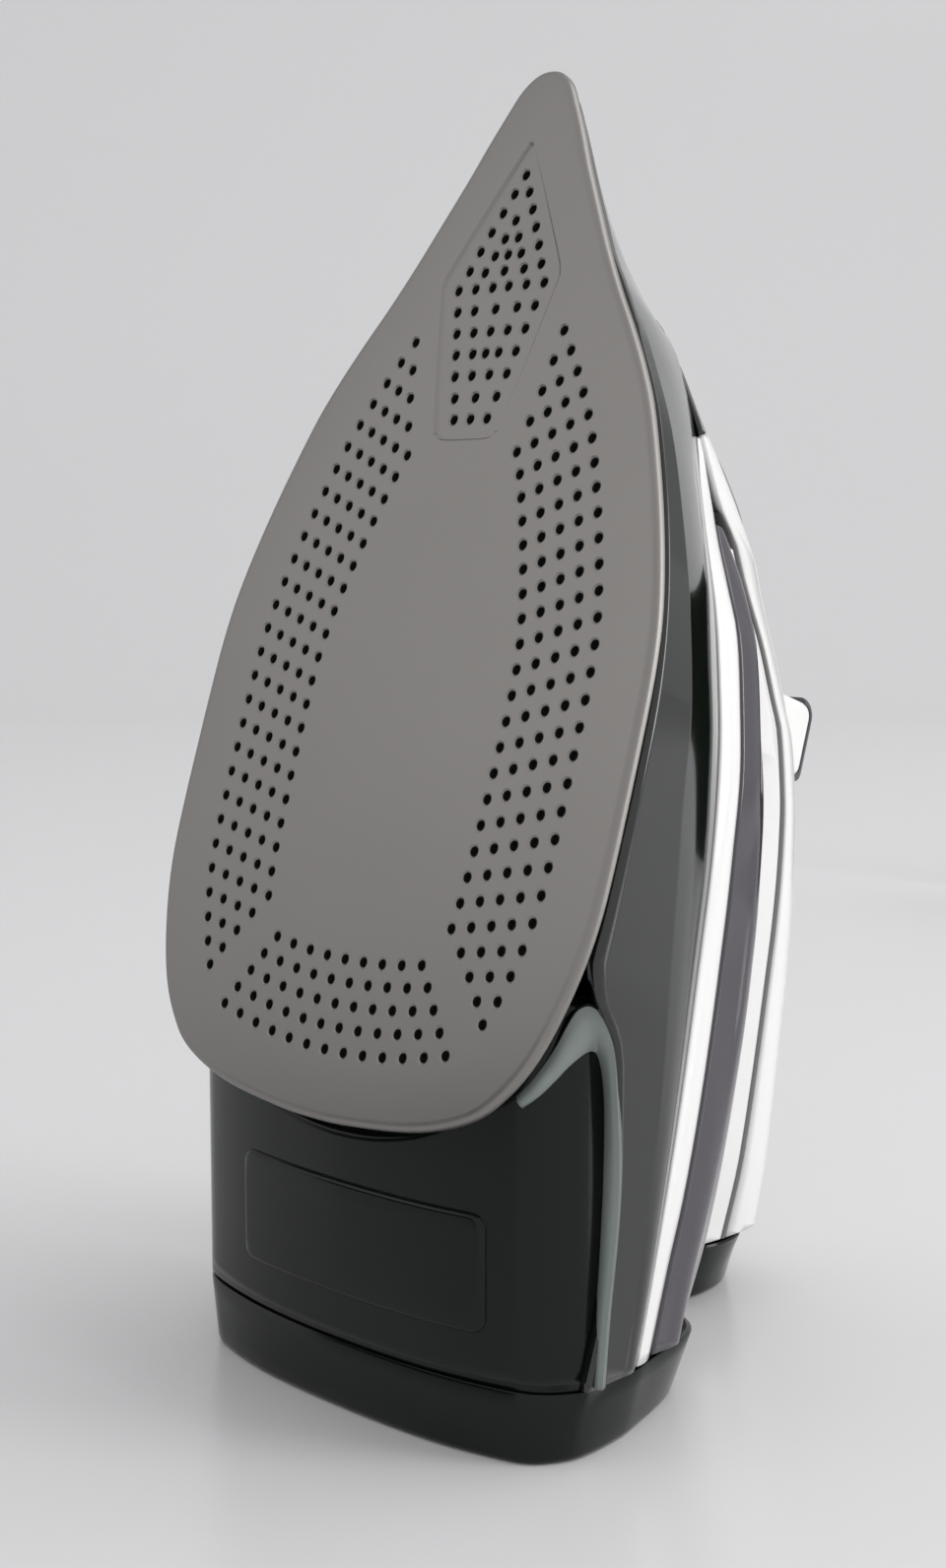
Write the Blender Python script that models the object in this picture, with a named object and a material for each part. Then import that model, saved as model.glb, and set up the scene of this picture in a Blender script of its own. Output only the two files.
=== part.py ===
"""Steam iron standing on its heel, built as separate solids. Metres, +Z up, +Y towards the handle, +X across.

Most pieces are drawn in the iron's own frame: x across, y from the sole face towards the handle, z along
the sole towards its tip, in millimetres. That frame is then leaned back and lifted on to the heel.
"""

import math

import bmesh
import bpy
from mathutils import Matrix, Vector

MM = 0.001

# Overall sizes, millimetres
SOLE_WIDTH = 131.0
SOLE_LENGTH = 233.1
SOLE_RAISE = 65.2
LEAN = math.radians(18.115)
HANDLE_WIDTH = 44.0
HANDLE_STANDOFF = 111.0
HEEL_CAP_HEIGHT = 16.0

# Walls and fits
GAP = 0.3
WALL = 2.4
SOLE_THICKNESS = 2.6
CASTING_INSET = 8.0
CASTING_THICKNESS = 4.0
CHAMBER_HEIGHT = 9.0
TANK_WALL = 2.0
INLAY_HEIGHT = 1.8

# Moving pieces
DIAL_RADIUS = 21.0
DIAL_HEIGHT = 9.0
DIAL_Z = -48.0
SHAFT_RADIUS = 3.0
BUTTON_TRAVEL = 4.0
BUTTON_WIDTH = 14.0
BUTTON_LENGTH = 21.0
BUTTON_Z = 1.0
BUTTON_TOP = 124.0
BARREL_RADIUS = 6.8
SPRING_TURNS = 5
SPRING_WIRE = 0.55
SELECTOR_Z = 22.0
ROD_Z = 12.0
ROD_RADIUS = 1.6
SWIVEL_RADIUS = 8.5
SWIVEL_Z = -98.0
LID_FRONT = 57.0
LID_REAR = 37.0
NECK_RADIUS = 6.0
SCREW_RADIUS = 2.0

# The curves below are drawn for these sizes and stretch with them
DRAWN_HALF_WIDTH = 65.5
DRAWN_LENGTH = 233.1
WIDEN = SOLE_WIDTH / 2 / DRAWN_HALF_WIDTH
STRETCH = SOLE_LENGTH / DRAWN_LENGTH
TIP_Z = 121.8 * STRETCH
REAR_Z = -111.3 * STRETCH
LIFT = SOLE_RAISE - REAR_Z * math.cos(LEAN)
LONGER = REAR_Z + 111.3
HEEL_SHIFT = LONGER * math.sin(LEAN)
RISE = HANDLE_STANDOFF - 111.0

collection = bpy.context.scene.collection


def clear_scene():
    for thing in list(bpy.data.objects):
        bpy.data.objects.remove(thing, do_unlink=True)


def curve(points, stretch=1.0, scale=1.0):
    """A smooth function through (z, value) points, flat where the values stop changing."""
    pts = sorted((z * stretch, v * scale) for z, v in points)

    def slope(i):
        lo, hi = max(i - 1, 0), min(i + 1, len(pts) - 1)
        return (pts[hi][1] - pts[lo][1]) / (pts[hi][0] - pts[lo][0])

    def value(z):
        if z <= pts[0][0]:
            return pts[0][1] + slope(0) * (z - pts[0][0])
        if z >= pts[-1][0]:
            return pts[-1][1]
        i = max(k for k in range(len(pts) - 1) if pts[k][0] <= z)
        (z0, v0), (z1, v1) = pts[i], pts[i + 1]
        h = z1 - z0
        t = (z - z0) / h
        a = (2 * t**3 - 3 * t**2 + 1) * v0 + (3 * t**2 - 2 * t**3) * v1
        return a + (t**3 - 2 * t**2 + t) * h * slope(i) + (t**3 - t**2) * h * slope(i + 1)

    return value


# Half widths and heights along the iron
skirt_foot = curve([(60, 40.5), (51, 46), (41, 51), (22, 58), (3, 63), (-16, 65.3), (-54, 65.5),
                    (-80, 64.3), (-110, 62.5), (-150, 60)], STRETCH, WIDEN)
skirt_low = curve([(z + LONGER, y) for z, y in (
    (60, 4), (-62, 4), (-70, 4.2), (-76, 8), (-81, 14.8), (-95, 24), (-107.7, 28.6), (-121, 32.3),
    (-136, 36), (-150, 41))])
skirt_top_x = curve([(60, 29), (49, 34.5), (38, 38.8), (24, 44), (11, 48.3), (-4, 51.8), (-18, 54.3),
                     (-40, 56.3), (-62, 57.2), (-93, 58), (-130, 57.8), (-155, 57)], STRETCH, WIDEN)
skirt_top = curve([(60, 34.3), (49, 34.5), (38, 34.2), (24, 34.8), (11, 36.2), (-4, 38), (-18, 39.8),
                   (-40, 42.4), (-62, 44.3), (-93, 47), (-130, 50.2), (-155, 52.3)], STRETCH)
strip_top_x = curve([(49, 34.5), (34, 35.5), (18, 44.2), (8, 48.8), (-7, 52.6), (-22, 55), (-38, 55.8),
                     (-53, 56.4), (-87, 57.2), (-110, 57), (-126, 56), (-155, 55)], STRETCH, WIDEN)
strip_top = curve([(49, 35.6), (42, 41), (34, 45.4), (18, 44.2), (8, 44.8), (-7, 46), (-22, 48),
                   (-38, 50), (-53, 51.6), (-87, 54.6), (-126, 57.2), (-155, 58.5)], STRETCH)
shoulder_x = curve([(33, 33), (22, 38), (6, 45), (-10, 50.2), (-25, 54), (-40, 56), (-55, 57),
                    (-93, 56.5), (-117, 54.8), (-140, 51), (-155, 48)], STRETCH, WIDEN)
deck = curve([(33, 51), (28, 57), (22, 61), (6, 64), (-10, 65.5), (-40, 67), (-55, 69), (-71, 72),
              (-93, 75), (-117, 78.5), (-155, 84)], STRETCH)
inlay_x = curve([(84, 0), (78, 13.5), (71, 20.3), (61, 27.8), (49, 34.5), (40, 34.6), (36, 34), (33, 32),
                 (28, 29), (24.5, 27.6), (15.5, 25), (4, 23.5), (-13, 22.5), (-32, 22), (-100, 22),
                 (-125, 19.5)], STRETCH, HANDLE_WIDTH / 44.0)
inlay_y = curve([(84, 34.6), (60, 35.2), (49, 36.4), (42, 42), (36, 49), (33, 57), (28, 66), (24.5, 71.5),
                 (15.5, 84.5), (4, 96), (-1, 100.5), (-13, 107), (-20, 110), (-32, 113.5), (-45, 116),
                 (-57, 117.5), (-88, 121), (-125, 125)], STRETCH)
ridge = curve([(85, 36), (81, 42), (73, 52), (64, 62), (56, 71), (49, 79), (33, 96), (29, 100),
               (21, 107), (12, 114.5), (-10, 125), (-29, 131), (-56, 136), (-73, 137.5), (-87, 139),
               (-125, 143)], STRETCH)
underside = curve([(-7, 84), (-16, 94), (-29, 99.5), (-56, 104), (-87, 107), (-125, 111)], STRETCH)
SHARPNESS = curve([(84, 1.9), (64, 1.75), (56, 1.65), (48, 1.5), (40, 1.35), (28, 1.3), (14, 1.28),
                   (0, 1.1), (-20, 1.0)], STRETCH)


def at_floor_level(y, level):
    """The z at which depth y lies at the given height over the floor."""
    return (level - LIFT + y * math.sin(LEAN)) / math.cos(LEAN)


SEAM = HEEL_CAP_HEIGHT + GAP

frame_empty = None


def material(name, colour, rough, metal=0.0):
    mat = bpy.data.materials.new(name)
    mat.use_nodes = True
    shader = mat.node_tree.nodes["Principled BSDF"]
    shader.inputs["Base Color"].default_value = (*colour, 1.0)
    shader.inputs["Roughness"].default_value = rough
    shader.inputs["Metallic"].default_value = metal
    return mat


FINISHES = {
    "sole": ((0.25, 0.24, 0.23), 0.35, 1.0),
    "casting": ((0.55, 0.55, 0.56), 0.5, 1.0),
    "steel": ((0.6, 0.6, 0.6), 0.3, 1.0),
    "brass": ((0.6, 0.45, 0.2), 0.35, 1.0),
    "dark": ((0.03, 0.035, 0.03), 0.15, 0.0),
    "white": ((0.85, 0.85, 0.85), 0.2, 0.0),
    "smoke": ((0.1, 0.09, 0.11), 0.15, 0.0),
    "grey": ((0.12, 0.12, 0.12), 0.4, 0.0),
    "rubber": ((0.02, 0.02, 0.02), 0.7, 0.0),
    "amber": ((0.6, 0.15, 0.02), 0.2, 0.0),
    "ceramic": ((0.75, 0.72, 0.65), 0.6, 0.0),
}


def finish(bm, name, kind, leaned=True, smooth=True):
    """Turns a bmesh in millimetres into a named object with its own material."""
    bmesh.ops.recalc_face_normals(bm, faces=bm.faces)
    bmesh.ops.scale(bm, verts=bm.verts, vec=(MM, MM, MM))
    mesh = bpy.data.meshes.new(name)
    bm.to_mesh(mesh)
    bm.free()
    if smooth:
        mesh.shade_smooth()
        mesh.set_sharp_from_angle(angle=math.radians(35))
    thing = bpy.data.objects.new(name, mesh)
    mesh.materials.append(material(name + "_finish", *FINISHES[kind]))
    collection.objects.link(thing)
    thing.parent = frame_empty if leaned else root_empty
    return thing


def loft(rings, closed=False):
    """Bridges rings of the same number of points; open lofts get flat ends."""
    bm = bmesh.new()
    rows = [[bm.verts.new(p) for p in ring] for ring in rings]
    count = len(rows[0])
    pairs = list(zip(rows, rows[1:]))
    if closed:
        pairs.append((rows[-1], rows[0]))
    for low, high in pairs:
        for i in range(count):
            j = (i + 1) % count
            bm.faces.new((low[i], low[j], high[j], high[i]))
    if not closed:
        bm.faces.new(rows[0])
        bm.faces.new(rows[-1])
    return bm


def mirrored(half):
    """A closed ring from its right half, drawn from centre to centre."""
    left = [(-x, y, z) for x, y, z in reversed(half) if abs(x) > 1e-6]
    return half + left


def circle(radius, y, centre, sides):
    """One round ring at depth y."""
    turns = [2 * math.pi * k / sides for k in range(sides)]
    return [(centre[0] + radius * math.cos(a), y, centre[2] + radius * math.sin(a)) for a in turns]


def turned(profile, sides=24, centre=(0, 0, 0)):
    """A ring-shaped solid turned about y: its (radius, y) points go once round the section."""
    return loft([circle(r, y, centre, sides) for r, y in profile], closed=True)


def stacked(profile, sides=16, centre=(0, 0, 0)):
    """A solid turned about y whose first and last circles are flat ends."""
    return loft([circle(r, y, centre, sides) for r, y in profile])


def rod(radius, low, high, centre, sides=16, chamfer=0.3):
    """A plain round bar along y."""
    thin = radius - chamfer
    profile = [(thin, low), (radius, low + chamfer), (radius, high - chamfer), (thin, high)]
    return stacked(profile, sides, centre)


def sleeve(outer, inner, low, high, centre, sides=20):
    """A round tube along y."""
    return turned([(inner, low), (outer, low), (outer, high), (inner, high)], sides, centre)


def swept(path, radius, sides=8):
    """A round bar along a list of points."""
    rings = []
    pts = [Vector(p) for p in path]
    side = None
    for i, p in enumerate(pts):
        along = (pts[min(i + 1, len(pts) - 1)] - pts[max(i - 1, 0)]).normalized()
        if side is None:
            side = along.orthogonal().normalized()
        side = (side - along * side.dot(along)).normalized()
        other = along.cross(side)
        rings.append([p + radius * (math.cos(a) * side + math.sin(a) * other)
                      for a in (2 * math.pi * k / sides for k in range(sides))])
    return loft(rings)


def block(low, high, bevel=1.0, segments=1):
    """A box between two corners with bevelled edges."""
    bm = bmesh.new()
    bmesh.ops.create_cube(bm, size=1.0)
    size = [h - l for l, h in zip(low, high)]
    middle = [(h + l) / 2 for l, h in zip(low, high)]
    bmesh.ops.scale(bm, verts=bm.verts, vec=size)
    bmesh.ops.translate(bm, verts=bm.verts, vec=middle)
    bmesh.ops.bevel(bm, geom=bm.edges[:], offset=bevel, segments=segments, profile=0.5, affect="EDGES")
    return bm


def cut(target, name, bm, solver="EXACT"):
    """Takes a closed shape out of a piece; MANIFOLD serves where several curved cuts lie close together."""
    cutter = finish(bm, name, "grey")
    cutter.hide_render = True
    cutter.display_type = "WIRE"
    hole = target.modifiers.new(name, "BOOLEAN")
    hole.operation = "DIFFERENCE"
    hole.solver = solver
    hole.object = cutter


def pivot(thing, point):
    """Moves a piece's origin to a point of the iron's frame and leaves its shape where it is."""
    shift = Vector(point) * MM
    thing.data.transform(Matrix.Translation(-shift))
    thing.location = shift


# The sole's outline, from the middle of its rear edge round the right side to the tip
SOLE_POINTS = [(-111.3, 0), (-110.8, 12), (-108.5, 30), (-104, 43.5), (-98, 51), (-89, 57.2), (-76, 62),
               (-62, 64.8), (-45, 65.5), (-28, 65.5), (-10, 65), (4, 63), (22, 58), (41, 51), (51, 46),
               (60, 40.5), (69, 34.5), (78, 29), (87, 24), (98, 18), (106, 14), (113, 10.2), (118, 7.2),
               (121, 3.6), (121.8, 0)]


def sole_outline(inset, y):
    """The sole's outline drawn in by an inset, as one closed ring at depth y."""
    pts = [Vector((x * WIDEN, z * STRETCH)) for z, x in SOLE_POINTS]
    half = []
    for i, p in enumerate(pts):
        before = pts[i - 1] if i else Vector((-pts[1].x, pts[1].y))
        after = pts[i + 1] if i < len(pts) - 1 else Vector((-pts[-2].x, pts[-2].y))
        along = (after - before).normalized()
        q = p - inset * Vector((along.y, -along.x))
        half.append((max(q.x, 0.0) if 0 < i < len(pts) - 1 else 0.0, y, q.y))
    return mirrored(half)


def chamber_outline(inset, y):
    """The steam chamber's shield shape under the cover."""
    pts = [(0, -78), (20, -77), (36, -68), (42, -50), (41, -25), (35, 5), (25, 35), (14, 58), (5, 71),
           (0, 73)]
    half = []
    for x, z in pts:
        half.append((max(x * WIDEN - inset, 0.0) if x else 0.0, y, z * STRETCH - inset * z / 85))
    return mirrored(half)


def along_body(stops, low):
    """Stations for a loft: the heel seam first, then fixed z values; each maps a depth y to its z."""
    stations = [lambda y: at_floor_level(y, low)]
    stations += [lambda y, z=z: z * STRETCH for z in stops]
    return stations


HANDLE_STOPS = [-104, -87, -56, -29, -16, -9, -6, -3, 4, 10, 16, 22, 27, 31]
BODY_STOPS = [-112, -93, -84, -77, -70, -55, -38, -22, -7, 8, 22, 38, 49, 60]


def skirt_ring(z_at, side, shift=0.0):
    """One section of the skirt wall on one side: three outer points and three inner ones."""
    points = []
    z = z_at(skirt_low(z_at(30)))
    low, top = skirt_low(z), skirt_top(z)
    foot, head = skirt_foot(z) - 0.6, skirt_top_x(z)
    for share, inset in ((0, 0), (0.45, 0), (1, 0), (1, WALL), (0.45, WALL), (0, WALL)):
        y = low + (top - low) * share
        x = foot + (head - foot) * (y - 4) / (top - 4)
        points.append((side * (x - inset), y, z_at(y)))
    return points


def build_lower_housing():
    rings = [skirt_ring(z_at, 1) for z_at in along_body(BODY_STOPS, SEAM)]
    nose = [((34.0, 70.0), (23.0, 70.0)), ((28.4, 78.0), (17.0, 75.5)), ((23.4, 87.0), (12.0, 79.5)),
            ((17.4, 98.0), (7.5, 82.0)), ((9.7, 112.0), (3.4, 83.6)), ((0.0, 121.0), (0.0, 84.2))]
    for (foot_x, foot_z), (head_x, head_z) in nose:
        ring = []
        for share, inset in ((0, 0), (0.45, 0), (1, 0), (1, WALL), (0.45, WALL), (0, WALL)):
            spread = max(0.0, 1 - inset / 12 / WIDEN)
            x = (foot_x + (head_x - foot_x) * share) * WIDEN * spread
            z = (foot_z + (head_z - foot_z) * share) * STRETCH - inset * (1.2 if foot_z > 75 else 0.6)
            ring.append((x, 4 + (34.3 - 4) * share, z))
        rings.append(ring)
    left = [[(-x, y, z) for x, y, z in ring] for ring in reversed(rings[:-1])]
    finish(loft(rings + left), "lower_housing", "dark")


def build_accent_strip(side, name):
    rings = []
    for z_at in along_body([-112, -93, -70, -55, -38, -22, -7, 8, 22, 34, 42, 47.5], SEAM):
        z = z_at(skirt_top(-120))
        low, high = skirt_top(z) + GAP, strip_top(z) - GAP
        low_x, high_x = skirt_top_x(z), strip_top_x(z)
        ring = [(low_x, low), ((low_x + high_x) / 2 + 0.4, (low + high) / 2), (high_x, high),
                (high_x - WALL, high), (low_x - WALL, low)]
        rings.append([(side * x, y, z_at(y)) for x, y in ring])
    finish(loft(rings), name, "white")


def tank_half(z_at, inset=0.0):
    """The right half of the tank's section, drawn in by a wall thickness."""
    z = z_at(70)
    low, high = strip_top(z) + GAP + inset, deck(z) - inset
    foot, wide = strip_top_x(z) - inset, shoulder_x(z) - inset
    rise = high - low
    half = [(0, low), (foot * 0.6, low), (foot, low), (max(foot, wide), low + 0.35 * rise),
            (wide, low + 0.55 * rise), (wide - 0.16 * rise, low + 0.8 * rise), (wide - 0.5 * rise, high),
            (wide * 0.45, high + 0.4), (0, high + 0.6)]
    return [(x, y, z_at(y)) for x, y in half]


def build_water_tank():
    stops = [-112, -93, -70, -55, -38, -22, -7, 8, 22, 32]
    outside = loft([mirrored(tank_half(z_at)) for z_at in along_body(stops, SEAM)])
    tank = finish(outside, "water_tank", "smoke")
    inner = [lambda y, z=z: z * STRETCH for z in (-108, -93, -70, -38, -7, 22, 28)]
    cut(tank, "tank_cavity", loft([mirrored(tank_half(z_at, TANK_WALL)) for z_at in inner]))
    ways = (("tank_shaft_way", SHAFT_RADIUS + 2, DIAL_Z), ("tank_rod_way", ROD_RADIUS + 1, ROD_Z))
    for name, radius, z in ways:
        cut(tank, name, rod(radius, 30, 90, (0, 0, z * STRETCH)))
    cut(tank, "tank_mouth", rod(NECK_RADIUS - 1.4, 54.5, 90, (0, 0, 23.5 * STRETCH)))


def shell_half(z_at, inset):
    """The right half of the upper handle shell's section, from its lower edge to the ridge."""
    z = z_at(122)
    edge_x = max(inlay_x(z) - inset, 0.4)
    edge_y, top = inlay_y(z) + INLAY_HEIGHT / 2 + GAP, ridge(z) + RISE - inset
    power = SHARPNESS(z)
    half = []
    for k in range(6):
        a = math.radians(18 * k)
        x = edge_x * math.cos(a) ** power if k < 5 else 0.0
        y = edge_y + (top - edge_y) * math.sin(a) ** power
        half.append((x, y, z_at(y)))
    return half


def arch_ring(z_at):
    outer = shell_half(z_at, 0.0)
    inner = shell_half(z_at, WALL)
    left = [(-x, y, z) for x, y, z in reversed(outer[:-1])]
    inner_left = [(-x, y, z) for x, y, z in inner[:-1]]
    return outer + left + inner_left + list(reversed(inner))


def build_handle_top():
    nose = [35.5, 42, 49, 56, 64, 72, 78, 81.5]
    arches = loft([arch_ring(z_at) for z_at in along_body(HANDLE_STOPS + nose, SEAM)])
    top = finish(arches, "handle_top_shell", "white")
    slot = SELECTOR_Z * STRETCH
    cut(top, "selector_slot", block((-2.7, 90, slot - 6.5), (2.7, 128, slot + 5), 0.5), "MANIFOLD")
    mouth = swept([(0, 62, 33.3 * STRETCH), (0, 100, 58 * STRETCH)], NECK_RADIUS + 1.2, 14)
    cut(top, "fill_mouth", mouth, "MANIFOLD")
    half = BUTTON_WIDTH + 2.5
    back, front = BUTTON_Z - BUTTON_LENGTH / 2 - 0.8, BUTTON_Z + BUTTON_LENGTH / 2 + 0.8
    window = block((-half, 101, back * STRETCH), (half, 140, front * STRETCH), 1.5)
    cut(top, "button_window", window, "MANIFOLD")
    cut(top, "swivel_socket", rod(SWIVEL_RADIUS + 0.6, 125, 160, (0, 0, SWIVEL_Z * STRETCH), 24), "MANIFOLD")
    cut(top, "nozzle_hole", swept([(0, 55, 55 * STRETCH), (0, 70, 78 * STRETCH)], 3.6, 16), "MANIFOLD")


def inlay_ring(z_at, side):
    z = z_at(122)
    x, y, h = inlay_x(z), inlay_y(z), INLAY_HEIGHT / 2
    ring = [(x, y - h), (x + 0.15, y), (x, y + h), (x - 2, y + h), (x - 2, y - h)]
    return [(side * a, b, z_at(b)) for a, b in ring]


def build_inlay(side, name):
    sections = [inlay_ring(z_at, side) for z_at in along_body(HANDLE_STOPS + [35.5], SEAM)]
    finish(loft(sections), name, "grey")


def trough_half(z, z_at, inset, bottom, corner):
    """The right half of the lower handle shell, from its top edge round to the middle of its floor."""
    top = inlay_y(z) - INLAY_HEIGHT / 2 - GAP
    x = inlay_x(z) - inset
    floor = bottom + inset
    half = [(x, top), (x - 0.3, top * 0.55 + floor * 0.45), (x - 0.3 - 0.2 * corner, floor + 0.4 * corner),
            (x - corner, floor), (0, floor)]
    return [(a, b, z_at(b)) for a, b in half]


def build_handle_bottom():
    """The finger side of the handle, which turns down into the column that stands on the deck."""
    rings = []
    for k, z_at in enumerate(along_body(HANDLE_STOPS, SEAM)):
        z = z_at(122)
        stop = HANDLE_STOPS[k - 1] if k else HANDLE_STOPS[0]
        outer_is_grip, inner_is_grip = stop < -7, stop < -4
        outer_floor = underside(z) + RISE if outer_is_grip else deck(z) + 0.9 + GAP
        inner_floor = underside(z) + RISE if inner_is_grip else deck(z) + 0.9 + GAP
        outer = trough_half(z, z_at, 0.0, outer_floor, 8.0 if outer_is_grip else 3.0)
        inner = trough_half(z, z_at, WALL, inner_floor, 8.0 if inner_is_grip else 3.0)
        left = [(-x, y, w) for x, y, w in reversed(outer[:-1])]
        inner_left = [(-x, y, w) for x, y, w in inner[:-1]]
        rings.append(outer + left + inner_left + list(reversed(inner)))
    shell = finish(loft(rings), "handle_grip_shell", "white")
    cut(shell, "grip_rod_way", rod(ROD_RADIUS + 1, 50, 90, (0, 0, ROD_Z * STRETCH)))
    cut(shell, "grip_neck_way", rod(NECK_RADIUS + 0.8, 50, 72, (0, 0, 23.5 * STRETCH)))
    cut(shell, "grip_slot", swept([(0, 60, 20 * STRETCH), (0, 100, 46 * STRETCH)], NECK_RADIUS + 0.8, 16))


def build_sole():
    plate = [sole_outline(1.2, 0), sole_outline(0.35, 0.35), sole_outline(0, 1.1),
             sole_outline(0, SOLE_THICKNESS - 0.5), sole_outline(0.5, SOLE_THICKNESS)]
    finish(loft(plate), "soleplate", "sole")
    base = SOLE_THICKNESS + GAP
    step = base + CASTING_THICKNESS
    wall = step + CHAMBER_HEIGHT
    edge = CASTING_INSET + 3 * (WIDEN - 1)
    half = [sole_outline(edge, base), sole_outline(edge, step)]
    chamber = [chamber_outline(0, step), chamber_outline(0, wall), chamber_outline(3, wall),
               chamber_outline(3, step + 1)]
    bm = loft(half)
    bmesh.ops.remove_doubles(bm, verts=bm.verts, dist=1e-5)
    casting = finish(bm, "sole_casting", "casting")
    chamber[0] = [(x, y - 1.5, z) for x, y, z in chamber[0]]
    block_bm = loft(chamber)
    wall_piece = finish(block_bm, "chamber_wall_shape", "casting")
    wall_piece.hide_render = True
    wall_piece.display_type = "WIRE"
    join = casting.modifiers.new("chamber_wall", "BOOLEAN")
    join.operation = "UNION"
    join.solver = "EXACT"
    join.object = wall_piece
    cover = finish(loft([chamber_outline(0.5, wall + GAP), chamber_outline(0.5, wall + GAP + 1.4)]),
                   "steam_chamber_cover", "steel")
    cut(cover, "drip_hole", rod(3.2, wall - 1, wall + 4, (0, 0, ROD_Z * STRETCH)))
    return step, wall + GAP + 1.4


def build_heater(step):
    """A U of sheathed heating tube round the chamber, with its two ends turned up."""
    radius = 3.2
    offset = CASTING_INSET + 4 + 3 * (WIDEN - 1)
    ring = [p for p in sole_outline(offset, step + GAP + radius) if p[0] >= 0][2:-2]
    right = [Vector(p) for p in ring if -79 * STRETCH < p[2] < 80 * STRETCH]
    end = right[0] + Vector((0, 15, 0))
    knee = right[0] + Vector((0, 3, 0))
    left = [Vector((-p.x, p.y, p.z)) for p in reversed(right)]
    path = [end, knee] + right + [Vector((0, right[-1].y, right[-1].z + 7 * STRETCH))] + left
    path += [Vector((-knee.x, knee.y, knee.z)), Vector((-end.x, end.y, end.z))]
    finish(swept(path, radius), "heating_element", "steel")
    for side, name in ((1, "right"), (-1, "left")):
        centre = (side * end.x, 0, end.z)
        finish(rod(2.4, end.y + GAP, end.y + 9, centre, 12), "element_terminal_" + name, "brass")


def build_thermostat(top):
    low = top + GAP
    z = DIAL_Z * STRETCH
    finish(block((-13, low, z - 14), (13, low + 11, z + 14), 1.2), "thermostat_body", "ceramic")
    finish(block((-5, low, z + 20), (5, low + 5, z + 40), 1.0), "thermal_fuse", "ceramic")
    bed = max(deck(z - DIAL_RADIUS), deck(z + DIAL_RADIUS)) + GAP
    shaft = finish(rod(SHAFT_RADIUS, low + 11 + GAP, bed + 1.2, (0, 0, z)), "thermostat_shaft", "brass")
    pivot(shaft, (0, bed, z))
    low_dial = bed + 1.5
    profile = [(DIAL_RADIUS - 1.5, low_dial), (DIAL_RADIUS, low_dial + 1.5),
               (DIAL_RADIUS - 0.8, low_dial + DIAL_HEIGHT - 2), (DIAL_RADIUS - 3.5, low_dial + DIAL_HEIGHT)]
    dial = finish(stacked(profile, 28, (0, 0, z)), "temperature_dial", "grey")
    pivot(dial, (0, bed, z))


def shell_y(x, z):
    """Depth of the upper shell's outer face at a distance from the middle."""
    edge_y, power = inlay_y(z) + INLAY_HEIGHT / 2 + GAP, SHARPNESS(z)
    share = min(abs(x) / inlay_x(z), 1.0)
    return edge_y + (ridge(z) + RISE - edge_y) * (1 - share ** (2 / power)) ** (power / 2)


def lens_rings(low_offset, high_offset, front, rear, half_width, crown):
    """Sections of a plate that follows the upper shell between two z values."""
    rings = []
    count = 6
    for k in range(count + 1):
        z = (rear + (front - rear) * k / count) * STRETCH
        slope = math.atan2(ridge(z + 1) - ridge(z - 1), 2)
        up = Vector((0, math.cos(slope), -math.sin(slope)))
        end = math.sin(math.pi * (0.12 + 0.76 * k / count))
        wide = half_width * (0.72 + 0.28 * end)
        lift = high_offset + crown * end
        half = []
        for share, offset in ((0, low_offset), (0.5, low_offset), (1, low_offset), (1, lift - 1.2),
                              (0.8, lift), (0.4, lift), (0, lift)):
            x = wide * share
            half.append(Vector((x, shell_y(x, z), z)) + up * offset)
        rings.append(mirrored([tuple(p) for p in half]))
    return rings


def build_fill_lid():
    lid = finish(loft(lens_rings(1.9, 3.6, LID_FRONT, LID_REAR, 13.0, 2.6)), "fill_lid", "smoke")
    z = LID_REAR * STRETCH - 2.6
    hinge = (0, ridge(z) + RISE + 1.8, z)
    pivot(lid, hinge)
    pin = rod(1.1, -9, 9, (0, 0, 0), 12)
    bmesh.ops.rotate(pin, verts=pin.verts, cent=(0, 0, 0), matrix=Matrix.Rotation(math.radians(90), 3, "Z"))
    bmesh.ops.translate(pin, verts=pin.verts, vec=hinge)
    finish(pin, "fill_lid_pin", "steel")
    neck = turned([(NECK_RADIUS - 1.4, 0), (NECK_RADIUS, 0), (NECK_RADIUS, 17), (NECK_RADIUS - 1.4, 17)], 16)
    turn = Matrix.Rotation(math.radians(33), 3, "X")
    bmesh.ops.rotate(neck, verts=neck.verts, cent=(0, 0, 0), matrix=turn)
    bmesh.ops.translate(neck, verts=neck.verts, vec=(0, 65.5, 27.5 * STRETCH))
    finish(neck, "fill_neck", "grey")


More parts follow.
